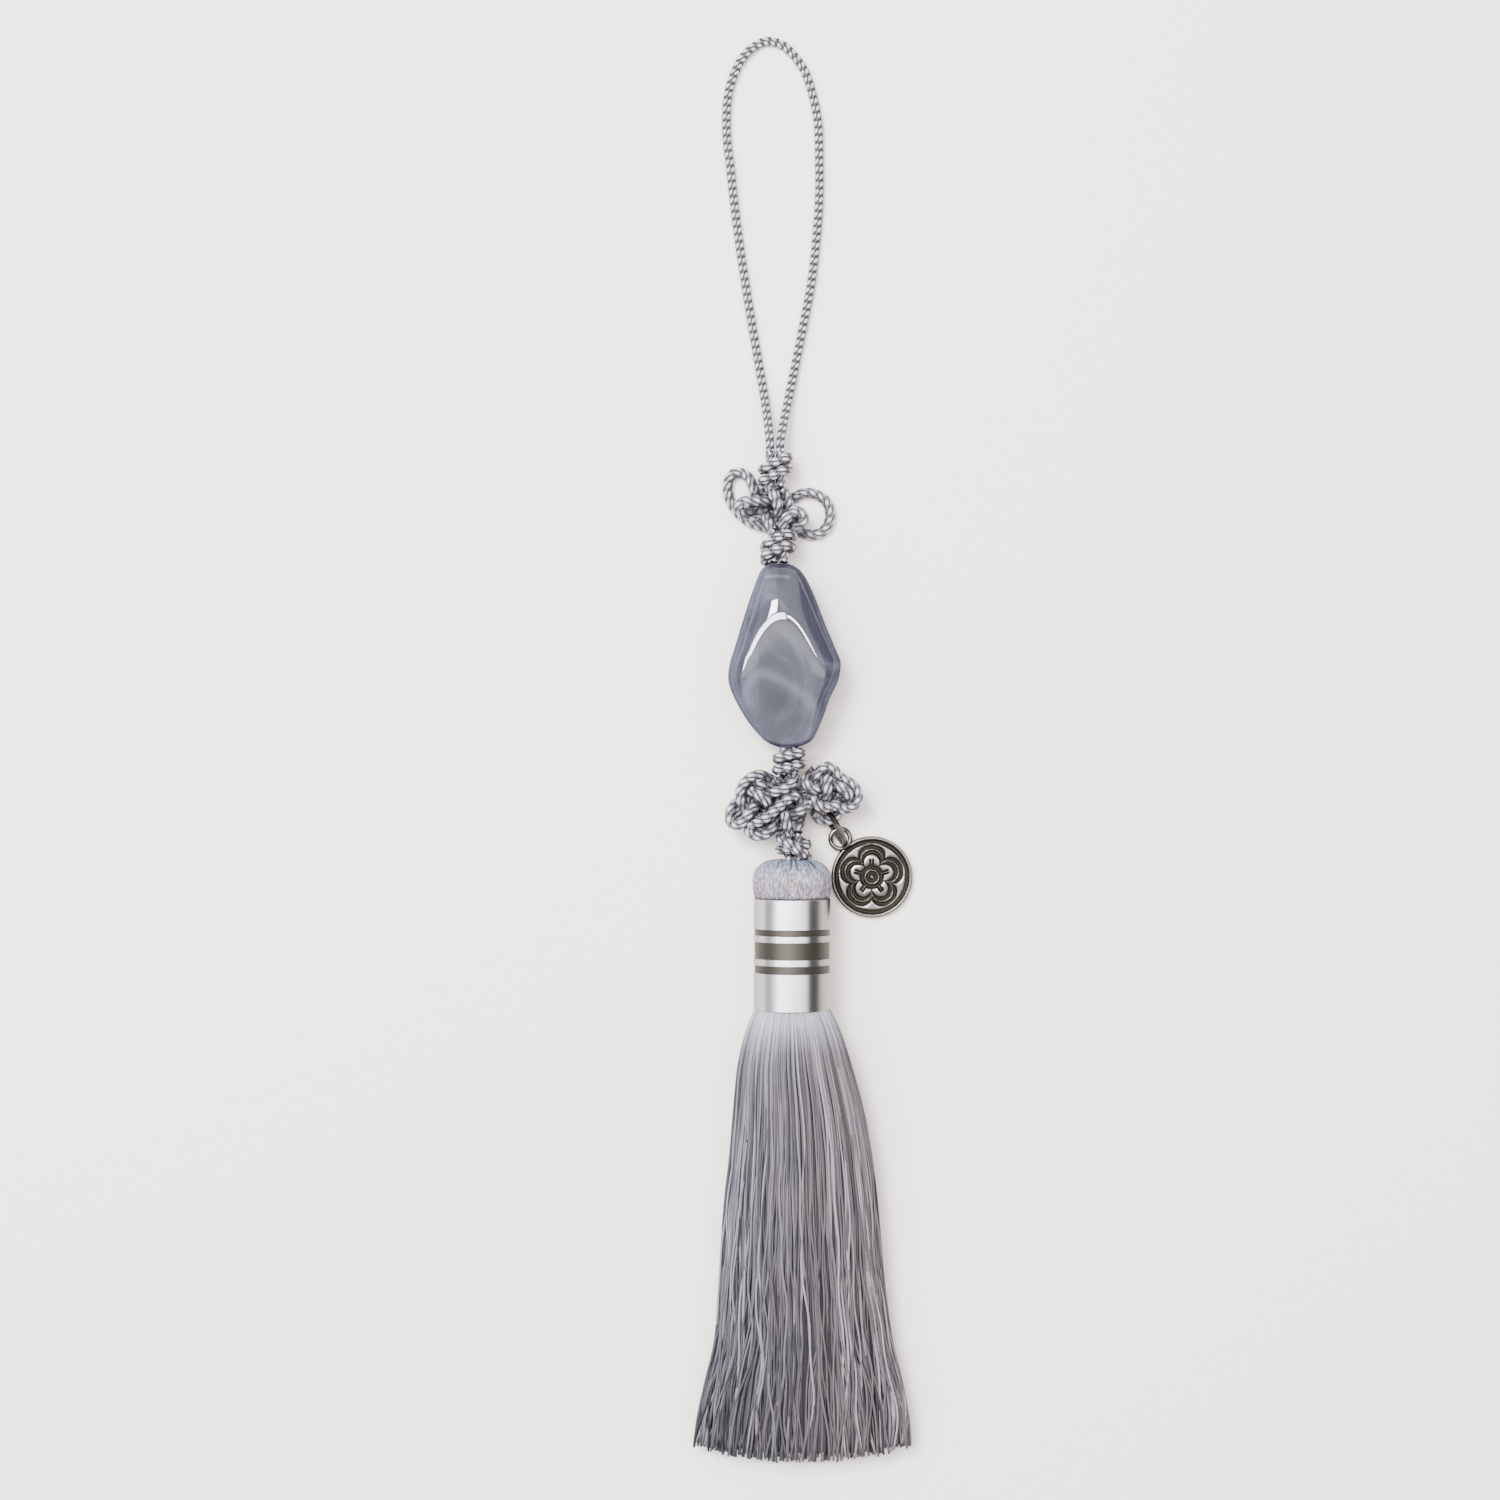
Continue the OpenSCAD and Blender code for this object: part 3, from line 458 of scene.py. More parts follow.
def build(name, points, quads, readings=None, uv=None):
    """A mesh object at the origin from points in millimetres. Readings are named values, one for
    each point, that its material reads. Lids are flat and all other faces smooth."""
    corners = quads.ravel()
    # a quad of a tube's side makes the same step from ring to ring on both its edges
    smooth = quads[:, 1] - quads[:, 0] == quads[:, 2] - quads[:, 3]
    points = np.asarray(points, float).reshape(-1, 3)
    mesh = bpy.data.meshes.new(name)
    mesh.vertices.add(len(points))
    mesh.vertices.foreach_set("co", (points * MM).astype(np.float32).ravel())
    mesh.loops.add(len(corners))
    mesh.loops.foreach_set("vertex_index", corners.astype(np.int32))
    mesh.polygons.add(len(quads))
    mesh.polygons.foreach_set("loop_start", np.arange(0, len(corners), 4, dtype=np.int32))
    mesh.polygons.foreach_set("use_smooth", smooth)
    mesh.update(calc_edges=True)
    for key, values in (readings or {}).items():
        layer = mesh.attributes.new(key, "FLOAT", "POINT")
        layer.data.foreach_set("value", np.asarray(values, np.float32).ravel())
    if uv is not None:
        layer = mesh.uv_layers.new(name="along")
        layer.data.foreach_set("uv", uv[corners].astype(np.float32).ravel())
    if mesh.validate(verbose=False):
        raise RuntimeError(name + " has faces that Blender had to mend")
    thing = bpy.data.objects.new(name, mesh)
    bpy.context.scene.collection.objects.link(thing)
    return thing


def enter(piece, material, node=None):
    """Gives a piece its material and slot. It rides on the body and takes the place of a node."""
    piece.data.materials.append(material)
    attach(piece, "root")
    if node:
        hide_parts(node)


def braid_grid(path, closed, swell):
    """Points, quads and readings of a round braid of flat strands along a path. Half of them, full and
    pale, climb one way round, and the others, lower and painted darker as shade, climb the other way.
    A strand's distance from the middle rises and falls with the cosine of its place along the cord, so
    it passes over and under. Where the cord swells in a knot, the strands lie flatter and the lower
    ones are painted less dark."""
    cord = look("cord")
    pitch, reach, weave = cord.pitch / MM, swell * cord.reach / MM, swell * cord.weave / MM
    pitch, weave = pitch * (1 + 0.9 * (swell - 1)), weave * (1 - 1.7 * (swell - 1))
    half_w, half_t = swell * cord.strand_width / 2 / MM, swell * cord.strand_thickness / 2 / MM
    smooth, at, length = even_steps(path, pitch / BRAID_ROWS, closed)
    if closed:
        pitch = length / max(1, round(length / pitch))
    along, side, up = carried_frame(smooth, closed)
    lean = math.atan(TURN * reach / pitch)
    a = TURN * np.arange(BRAID_SIDES) / BRAID_SIDES
    wide, thick = half_w * np.cos(a), half_t * np.sin(a)
    rows = len(smooth)
    points, outward, quads, crest_shade, uv = [], [], [], [], []
    for strand in range(2 * BRAID_STRANDS):
        way = 1 if strand < BRAID_STRANDS else -1
        # share of a strand's full width, how far it stands out, and how pale it is painted; below 1 it
        # is painted shade that darkens the lower strands
        full, high, pale = (0.92, 0.05, 1.0) if way > 0 else (0.8, -0.03, 0.9 * swell - 0.28)
        turn = TURN * (way * at / pitch + strand / BRAID_STRANDS)
        rise = reach + swell * high + weave * way * np.cos(BRAID_STRANDS * TURN * at / pitch)
        angle = turn[:, None] + math.cos(lean) * full * wide / rise[:, None]
        out = side[:, None] * np.cos(angle)[..., None] + up[:, None] * np.sin(angle)[..., None]
        from_middle = rise[:, None] + thick
        ring = (smooth[:, None] + out * from_middle[..., None]
                - along[:, None] * (way * math.sin(lean) * full * wide)[None, :, None])
        points.append(ring.reshape(-1, 3))
        outward.append(out.reshape(-1, 3))
        crest_shade.append((pale * (from_middle / swell - 0.5) / 0.5).ravel())
        lengthwise = at[:, None] / pitch + 0.37 * strand
        around = np.arange(BRAID_SIDES) / BRAID_SIDES
        uv.append(np.stack(np.broadcast_arrays(lengthwise, around), -1).reshape(-1, 2))
        quads.append(tube_faces(rows, BRAID_SIDES, closed, strand * rows * BRAID_SIDES))
    return (np.vstack(points), np.vstack(outward), np.vstack(quads), np.concatenate(crest_shade),
            np.vstack(uv))


def crowding_shade(points, outward, middles):
    """How much of what a point faces is filled by other cords, which the finish paints as shade: over
    the points of all the cords' middle lines, the sum of cos(angle to it) / distance squared, times
    half the points' step."""
    shares = []
    for block, facing in zip(np.array_split(points, 24), np.array_split(outward, 24)):
        way = middles[None].astype(np.float32) - block[:, None].astype(np.float32)
        far = np.maximum((way ** 2).sum(2), 0.3)
        ahead = np.maximum((way * facing[:, None].astype(np.float32)).sum(2), 0)
        shares.append((ahead / far ** 1.5).sum(1) * CROWD_STEP / 2)
    return np.clip(np.concatenate(shares), 0, 1)


def cord_piece(name, routes, swell, others):
    """One piece made of braids, each along its own route. Routes are (points, closed). Others are
    points of the middle lines of all cords that may lie against it."""
    points, outward, quads, crest_shade, uv, count = [], [], [], [], [], 0
    cord = look("cord")
    lowest = swell * ((cord.reach + cord.weave + cord.strand_thickness / 2) / MM + 0.05) + FLOOR_GAP
    for route, closed in routes:
        route = np.stack([route[:, 0], route[:, 1], np.maximum(route[:, 2], lowest)], 1)
        p, o, q, c, u = braid_grid(route, closed, swell)
        points.append(p)
        outward.append(o)
        quads.append(q + count)
        crest_shade.append(c)
        uv.append(u)
        count += len(p)
    points, outward = np.vstack(points), np.vstack(outward)
    # painted shade: these readings darken the braid in its hollows and where other cords crowd it
    readings = {"crest_shade": np.concatenate(crest_shade), "near": crowding_shade(points, outward, others)}
    return build(name, points, np.vstack(quads), readings, np.vstack(uv))


def placed(points, at, turn_y=False, tilt=0):
    """Points turned half round about Y or tilted about X, in degrees, and then moved to their place"""
    p = np.array(points, float)
    if turn_y:
        p = p * (-1, 1, -1)
    a = math.radians(tilt)
    y = p[:, 1] * math.cos(a) - p[:, 2] * math.sin(a)
    z = p[:, 1] * math.sin(a) + p[:, 2] * math.cos(a)
    return np.stack([p[:, 0], y, z], 1) + np.array(at, float)


def collar_routes(rise, at, tight, turn_y=False, tilt=0):
    """Routes of a collar knot: the closed double wrap, and the two cords inside it. Tight is how
    far out the wrap stands, as a share of its width in the table."""
    table = np.array(WRAP_TABLE, float) * (tight, 1, 1, 1)
    wrap = np.stack([table[:, 0], rise / 2 * table[:, 2] + LANE * table[:, 3], table[:, 1]], 1)
    half = rise / 2 + LANE + CORD_D / 2
    routes = [(placed(curve_through(wrap, ROUTE_STEPS, True), at, turn_y, tilt), True)]
    for x in (-CORE_X, CORE_X):
        core = [[x, half, 0], [x, 0, 0], [x, -half, 0]]
        routes.append((placed(curve_through(core, ROUTE_STEPS), at, turn_y, tilt), False))
    return routes


def strand_routes(tables, at, drawn=0.0):
    """Routes of a knot's strands, from tables of their points about the knot's own place. Drawn is
    the share by which the wings are pulled in; the strands' ends in the middle stay in place."""
    routes = []
    for table in tables:
        x, y, z = curve_through(table, ROUTE_STEPS).T
        aside = np.minimum(1, np.abs(x) / 5) ** 2
        route = np.stack([x * (1 - drawn * aside), y * (1 - drawn * aside), z], 1)
        routes.append((placed(route, at), False))
    return routes


def lathe(profile, sides, scale=1):
    """Points of a profile of (y, radius) turned about the tassel's middle line. Scale multiplies
    the radius, for each place round it."""
    y, r = np.array(profile, float).T
    a = TURN * np.arange(sides) / sides
    radius = r[:, None] * scale
    x = TASSEL_X + radius * np.cos(a)
    z = TASSEL_Z + radius * np.sin(a)
    return np.stack([x, np.broadcast_to(y[:, None], x.shape), z], -1)


def between(table, at):
    """Columns of a table read at the places given, on the smooth curve through its rows"""
    rows = curve_through(sorted(table), 12)
    return [np.interp(at, rows[:, 0], rows[:, k]) for k in range(1, rows.shape[1])]


def power(v, e):
    """A power of the size of v, with the sign of v"""
    return np.sign(v) * np.abs(v) ** e


# Materials

class Reading:
    """A number inside a material. Arithmetic on it adds the Math nodes that work it out."""

    def __init__(self, finish, socket):
        self.finish = finish
        self.socket = socket

    def math(self, operation, *values, clamp=False):
        """A Math node on the values, in their order"""
        node = self.finish.node("ShaderNodeMath", {"operation": operation, "use_clamp": clamp},
                                dict(enumerate(values)))
        return Reading(self.finish, node.outputs[0])

    def __add__(self, other):
        return self.math("ADD", self, other)

    def __sub__(self, other):
        return self.math("SUBTRACT", self, other)

    def __rsub__(self, other):
        return self.math("SUBTRACT", other, self)

    def __mul__(self, other):
        return self.math("MULTIPLY", self, other)

    __radd__ = __add__
    __rmul__ = __mul__

    def clamped(self):
        """The same number kept between 0 and 1"""
        return self.math("ADD", self, 0.0, clamp=True)

    def spread(self, low, high, to_low=0.0, to_high=1.0):
        """A soft step from to_low, where the number is low, to to_high, where it is high"""
        node = self.finish.node(
            "ShaderNodeMapRange", {"interpolation_type": "SMOOTHSTEP"},
            {"Value": self, "From Min": low, "From Max": high, "To Min": to_low, "To Max": to_high})
        return Reading(self.finish, node.outputs[0])


class Finish:
    """A node material with one Principled shader"""

    def __init__(self, name, **constants):
        self.material = bpy.data.materials.new(name)
        self.material.use_nodes = True
        self.tree = self.material.node_tree
        self.tree.nodes.clear()
        output = self.tree.nodes.new("ShaderNodeOutputMaterial")
        self.shader = self.node("ShaderNodeBsdfPrincipled", {}, constants)
        self.tree.links.new(self.shader.outputs[0], output.inputs[0])

    def node(self, kind, settings=None, sockets=None):
        """A node of a kind, its settings first, and then the values or links of its sockets"""
        node = self.tree.nodes.new(kind)
        for key, value in (settings or {}).items():
            setattr(node, key, value)
        self.feed_node(node, sockets or {})
        return node

    def feed_node(self, node, sockets):
        """Links or values for a node's sockets"""
        for key, value in sockets.items():
            socket = self.socket(node, key)
            if isinstance(value, Reading):
                value = value.socket
            if isinstance(value, bpy.types.NodeSocket):
                self.tree.links.new(value, socket)
            elif socket.type == "RGBA":
                socket.default_value = (*value, 1)
            else:
                socket.default_value = value

    @staticmethod
    def socket(node, key):
        """An input by its number or name. Of several with one name it is the one that is in use."""
        if isinstance(key, int):
            return node.inputs[key]
        name = key.replace("_", " ").lower()
        return next(s for s in node.inputs if s.name.lower() == name and s.enabled)

    @staticmethod
    def stops(ramp, stops):
        """A ramp's stops, as (place, colour)"""
        for k, (place, colour) in enumerate(stops):
            stop = ramp.elements[k] if k < 2 else ramp.elements.new(place)
            stop.position = place
            stop.color = (*colour, 1)

    def reading(self, name):
        """A named value of the mesh"""
        node = self.node("ShaderNodeAttribute", {"attribute_name": name})
        return Reading(self, node.outputs["Fac"])

    def place(self):
        """The point on the piece, in metres"""
        return self.node("ShaderNodeTexCoord").outputs["Object"]

    def along(self):
        """The piece's own map, which runs along its threads"""
        return self.node("ShaderNodeTexCoord").outputs["UV"]

    def stretched(self, vector, scale, turn=(0, 0, 0)):
        """Coordinates scaled and turned"""
        return self.node("ShaderNodeMapping", {"vector_type": "POINT"},
                         {"Vector": vector, "Scale": scale, "Rotation": turn}).outputs[0]

    def noise(self, vector, scale, detail=3.0, roughness=0.5, warp=0.0):
        """Cloudy noise from 0 to 1"""
        node = self.node("ShaderNodeTexNoise", {}, {
            "Vector": vector, "Scale": scale, "Detail": detail, "Roughness": roughness,
            "Distortion": warp})
        return Reading(self, node.outputs["Fac"])

    def part(self, vector, axis):
        """One part of a vector: 0 for X, 1 for Y, 2 for Z"""
        node = self.node("ShaderNodeSeparateXYZ", {}, {0: vector})
        return Reading(self, node.outputs[axis])

    def blend(self, share, first, second):
        """Two colours mixed by a share of the second"""
        node = self.node("ShaderNodeMix", {"data_type": "RGBA"},
                         {"Factor": share, "A": first, "B": second})
        return next(s for s in node.outputs if s.enabled)

    def relief(self, height, strength, distance):
        """A bump from a height"""
        return self.node("ShaderNodeBump", {}, {
            "Height": height, "Strength": strength, "Distance": distance}).outputs[0]

    def feed(self, **inputs):
        """Links or values for the shader's sockets"""
        self.feed_node(self.shader, inputs)
        return self.material


def cord_finish():
    """Silky braid: pale threads on the strands' backs, painted shade in the hollows between them and
    where other cords crowd them, and fine lines of yarn along each strand"""
    known = bpy.data.materials.get("braided_cord")
    if known:
        return known
    cord = look("cord")
    f = Finish("braided_cord", specular_ior_level=0.7)
    crest_shade = f.reading("crest_shade")
    near = f.reading("near")
    yarn = f.noise(f.stretched(f.along(), (3, 26, 1)), 1.0, 2.0)
    tone = f.noise(f.place(), 420, 2.0)
    # painted shade: the braid is painted dark where its strands sink towards the cord's middle
    lit = crest_shade.spread(0.42, 0.98) * (0.72 + 0.28 * yarn.spread(0.3, 0.7))
    # painted shade where other cords crowd the braid
    lit = (lit * (1.0 - 0.8 * near.spread(0.15, 0.8))).clamped()
    colour = f.blend(lit, tuple(cord.deep), tuple(cord.light))
    colour = f.blend(tone.spread(0.45, 0.75) * 0.3 * lit, colour, (0.27, 0.24, 0.28))
    return f.feed(base_color=colour, roughness=0.5 - 0.16 * yarn,
                  normal=f.relief(yarn, 0.5, 0.00006))


def bead_finish():
    """Cloudy cast resin: a grey-blue body with paler clouds drawn out along the bead, a pale swirl,
    darker depths and a glossy skin"""
    bead = look("bead")
    f = Finish("cloudy_resin", roughness=0.12, specular_ior_level=0.0, coat_roughness=0.03,
               coat_ior=1.9, subsurface_weight=0.25, subsurface_scale=0.002,
               subsurface_radius=(0.8, 0.9, 1.0))
    place = f.place()
    drift = f.noise(f.stretched(place, (1, 0.5, 1), (0, 0, 0.5)), 95, 4.0, 0.55, 1.6)
    veil = f.noise(f.stretched(place, (1, 0.35, 1), (0, 0, -0.35)), 210, 3.0, 0.5, 0.8)
    swirl = f.reading("swirl")
    edge = f.reading("edge")
    depth = f.reading("depth")
    cloud = (drift.spread(0.42, 0.66) * 0.7 + veil.spread(0.5, 0.8) * 0.15 + edge * 0.5
             + swirl * 0.75).clamped()
    colour = f.blend(cloud, tuple(bead.body), tuple(bead.cloud))
    colour = f.blend((depth * 0.75).clamped(), colour, (0.014, 0.013, 0.018))
    return f.feed(base_color=colour, coat_weight=f.reading("gloss"))


def bright_metal():
    """Thin polished sleeve: bright metal with faint lengthwise streaks, dark matt grooves, and painted
    shade low on both sides
    """
    metal = look("metal")
    f = Finish("polished_sleeve", metallic=1.0, roughness=0.2)
    place = f.place()
    streak = f.noise(f.stretched(place, (900, 14, 900)), 1.0, 3.0, 0.6)
    patch = f.noise(f.stretched(place, (260, 60, 260)), 1.0, 4.0, 0.6)
    groove = f.reading("groove")
    colour = f.blend(streak.spread(0.3, 0.75) * 0.35, tuple(metal.bright), (0.60, 0.62, 0.64))
    # painted shade: darker low on both sides of the sleeve
    colour = f.blend(f.reading("painted_side_shade"), colour, (0.16, 0.155, 0.16))
    colour = f.blend(groove.spread(0.3, 0.7), colour, (0.06, 0.055, 0.048))
    rough = 0.18 + 0.16 * patch + 0.1 * streak + groove * 0.2
    return f.feed(base_color=colour, roughness=rough.clamped(),
                  normal=f.relief(streak, 0.12, 0.00004))


def aged_metal():
    """Cast silver-coloured metal, dark with patina in the hollows and rubbed bright on what stands
    out; on the bail and the jump ring the darkening is painted shade on the sides of the wire
    """
    known = bpy.data.materials.get("aged_silver")
    if known:
        return known
    metal = look("metal")
    f = Finish("aged_silver", metallic=1.0, roughness=0.25)
    place = f.place()
    pits = f.noise(place, 1400, 3.0, 0.6)
    wear = f.noise(place, 330, 4.0, 0.6)
    patina_and_shade = f.reading("patina_and_shade")
    dark = (patina_and_shade + (wear.spread(0.35, 0.8) - 0.5) * 0.3).spread(0.35, 0.75)
    colour = f.blend(dark, tuple(metal.aged), tuple(metal.patina))
    rough = 0.2 + 0.14 * pits + dark * 0.3
    return f.feed(base_color=colour, roughness=rough.clamped(),
                  normal=f.relief(pits, 0.15, 0.00005))


def skirt_finish():
    """Silky thread: each thread has its own tone, with painted shade on the deeper threads and on the
    inner body, cooler on the left and warmer on the right, with fine changes along it, and is palest
    where it leaves the sleeve"""
    tassel = look("tassel")
    f = Finish("skirt_thread", specular_ior_level=0.6)
    place = f.place()
    tone = f.reading("tone")
    fine = f.noise(f.stretched(place, (2600, 160, 2600)), 1.0, 2.0)
    broad = f.noise(f.stretched(place, (240, 70, 240)), 1.0, 2.0)
    side = f.part(place, 0) + (broad - 0.5) * 0.03
    body = f.blend(side.spread(-0.012, 0.006), tuple(tassel.cool), tuple(tassel.warm))
    body = f.blend(tone.spread(0.5, 1.0), body, (0.24, 0.225, 0.25))
    body = f.blend(fine.spread(0.5, 0.85) * 0.35, body, (0.20, 0.185, 0.20))
    body = f.blend(f.reading("root") * 0.75, body, (0.46, 0.45, 0.54))
    # painted shade: a low tone, of deep threads and the inner body, is painted nearly black
    body = f.blend(tone.spread(0.45, 0.05), body, (0.008, 0.007, 0.01))
    return f.feed(base_color=body, roughness=0.46 - 0.14 * fine,
                  normal=f.relief(fine, 0.3, 0.00005))


def head_finish():
    """Silky thread folded over the head: bluish round the knot, pinkish below it, with painted shade
    in the lines between the threads and where the threads meet the sleeve and the knot"""
    tassel = look("tassel")
    f = Finish("head_thread", specular_ior_level=0.55)
    place = f.place()
    tone = f.reading("tone")
    fine = f.noise(f.stretched(place, (2600, 1100, 2600)), 1.0, 3.0)
    blush = f.noise(place, 260, 3.0)
    body = f.blend(blush.spread(0.35, 0.65), tuple(tassel.head_cool), tuple(tassel.head_warm))
    body = f.blend(f.reading("top") * 0.9, body, tuple(tassel.head_top))
    body = f.blend(tone.spread(0.5, 0.9) * 0.6, body, (0.49, 0.49, 0.555))
    body = f.blend(fine.spread(0.5, 0.66) * 0.6, body, (0.5, 0.46, 0.5))
    # painted shade in fine lines between the threads
    body = f.blend(fine.spread(0.52, 0.38) * 0.85, body, (0.09, 0.08, 0.1))
    # painted shade: a low tone is painted dark
    body = f.blend(tone.spread(0.45, 0.0), body, (0.05, 0.05, 0.07))
    # painted shade where the threads go under the sleeve and meet the knot
    body = f.blend(f.reading("painted_join_shade").clamped(), body, (0.02, 0.018, 0.022))
    return f.feed(base_color=body, roughness=0.5 - 0.15 * fine,
                  normal=f.relief(fine, 0.35, 0.00006))


# Pieces

class StageOperator(bpy.types.Operator):
    """Lays the pale surface and sets the soft lights and the camera"""

    bl_idname = "norigae.stage"
    bl_label = "Stage"

    def execute(self, context):
        stage = look("stage")
        camera = bpy.data.cameras.new("camera")
        camera.lens = stage.lens
        camera.sensor_width = 36
        holder = bpy.data.objects.new("camera", camera)
        holder.location = (*(v * MM for v in PICTURE_MIDDLE), stage.camera_height)
        context.scene.collection.objects.link(holder)
        context.scene.camera = holder
        side = 3000
        corners = [[-side, -side, 0], [side, -side, 0], [side, side, 0], [-side, side, 0]]
        floor = build("floor", corners, np.array([[0, 1, 2, 3]]))
        tint = tuple(stage.floor)
        f = Finish("floor_paint", roughness=0.75)
        grain = f.noise(f.place(), 6, 2.0)
        shade = tuple(0.97 * c for c in tint)
        floor.data.materials.append(f.feed(base_color=f.blend(grain, tint, shade)))
        self.light(context, "key", (-0.32, 0.47, 1.0), (0.3, 0.3), 18)
        self.light(context, "left_strip", (-0.42, 0.2, 1.0), (1.05, 0.16), 19)
        self.light(context, "right_strip", (0.33, 0.2, 1.0), (0.5, 0.05), 4)
        world = bpy.data.worlds.new("room")
        world.use_nodes = True
        nodes, links = world.node_tree.nodes, world.node_tree.links
        way = nodes.new("ShaderNodeTexCoord").outputs["Generated"]
        parts = nodes.new("ShaderNodeSeparateXYZ")
        links.new(way, parts.inputs[0])
        product = nodes.new("ShaderNodeVectorMath")
        product.operation = "MULTIPLY"
        for axis, stops in enumerate((ROOM, ROOM_DEPTH)):
            share, ramp = nodes.new("ShaderNodeMapRange"), nodes.new("ShaderNodeValToRGB")
            share.inputs["From Min"].default_value = -1
            links.new(parts.outputs[axis], share.inputs["Value"])
            links.new(share.outputs[0], ramp.inputs[0])
            Finish.stops(ramp.color_ramp, stops)
            links.new(ramp.outputs[0], product.inputs[axis])
        links.new(product.outputs[0], nodes["Background"].inputs[0])
        nodes["Background"].inputs[1].default_value = stage.room_light
        context.scene.world = world
        return {"FINISHED"}

    @staticmethod
    def light(context, name, at, size, power_w):
        """A soft light of a width and depth at a place in metres, turned to the ornament. Its
        width stays along the room's X."""
        lamp = bpy.data.lights.new(name, "AREA")
        lamp.energy = power_w
        lamp.shape = "RECTANGLE"
        lamp.size, lamp.size_y = size
        holder = bpy.data.objects.new(name, lamp)
        holder.location = at
        back = (Vector(at) - Vector(LAMPS_AIM)).normalized()
        across = (Vector((1, 0, 0)) - back * back.x).normalized()
        turn = Matrix((across, back.cross(across), back)).transposed()
        holder.rotation_euler = turn.to_euler()
        context.scene.collection.objects.link(holder)


class LoopOperator(bpy.types.Operator):
    """Braids the free loop of cord that the ornament is hung by"""

    bl_idname = "norigae.loop"
    bl_label = "Hanging loop"

    def execute(self, context):
        route = curve_through(LOOP_ROUTE, ROUTE_STEPS)
        smooth, _, length = even_steps(route, 1.0)
        loop = cord_piece("loop_cord", [(route, False)], look("cord").loop_swell, smooth[::2])
        enter(loop, cord_finish(), "hanging_loop")
        tuple(smooth[0] * MM)
        length * MM
        smooth * MM
        return {"FINISHED"}


class KnotsOperator(bpy.types.Operator):
    """Braids the collar knots, the cloverleaf knot, the butterfly knot and the cord in the bead"""

    bl_idname = "norigae.knots"
    bl_label = "Knots"

    def execute(self, context):
        way = np.array(BORE_BOTTOM, float) - np.array(BORE_TOP, float)
        inner = [(np.array([BORE_TOP, BORE_TOP + way / 2, BORE_BOTTOM]) + (0.004 * way)
                  + (x, 0, 0), False) for x in (-0.82, 0.82)]
        pieces = {
            "top_collar_knot": collar_routes(TALL_RISE, TOP_COLLAR_AT, TOP_TIGHT),
            "cloverleaf_knot": strand_routes([CLOVER_LEFT, CLOVER_MIDDLE, CLOVER_RIGHT,
                                              *CLOVER_UNDER], CLOVER_AT),
            "middle_collar_knot": collar_routes(TALL_RISE, MIDDLE_COLLAR_AT, MIDDLE_TIGHT,
                                                tilt=-MIDDLE_COLLAR_TILT),
            "bead_thread": inner,
            "lower_collar_knot": collar_routes(FLAT_RISE, LOWER_COLLAR_AT, LOWER_TIGHT),
            "butterfly_knot": strand_routes([
                BUTTERFLY_EDGE, BUTTERFLY_LEFT, BUTTERFLY_MIDDLE, BUTTERFLY_RIGHT,
                *BUTTERFLY_UNDER], BUTTERFLY_AT, WINGS_DRAWN),
            "bottom_collar_knot": collar_routes(FLAT_RISE, BOTTOM_COLLAR_AT, BOTTOM_TIGHT,
                                                turn_y=True)}
        middles = np.vstack([even_steps(route, CROWD_STEP, closed)[0] for routes in pieces.values()
                             for route, closed in routes])
        swell = look("cord").knot_swell
        for node, routes in pieces.items():
            filled = 1 + (swell - 1) * (0.5 if "collar" in node or "thread" in node else 1)
            knot = cord_piece(node + "_braid", routes, filled, middles)
            enter(knot, cord_finish(), node)
        return {"FINISHED"}


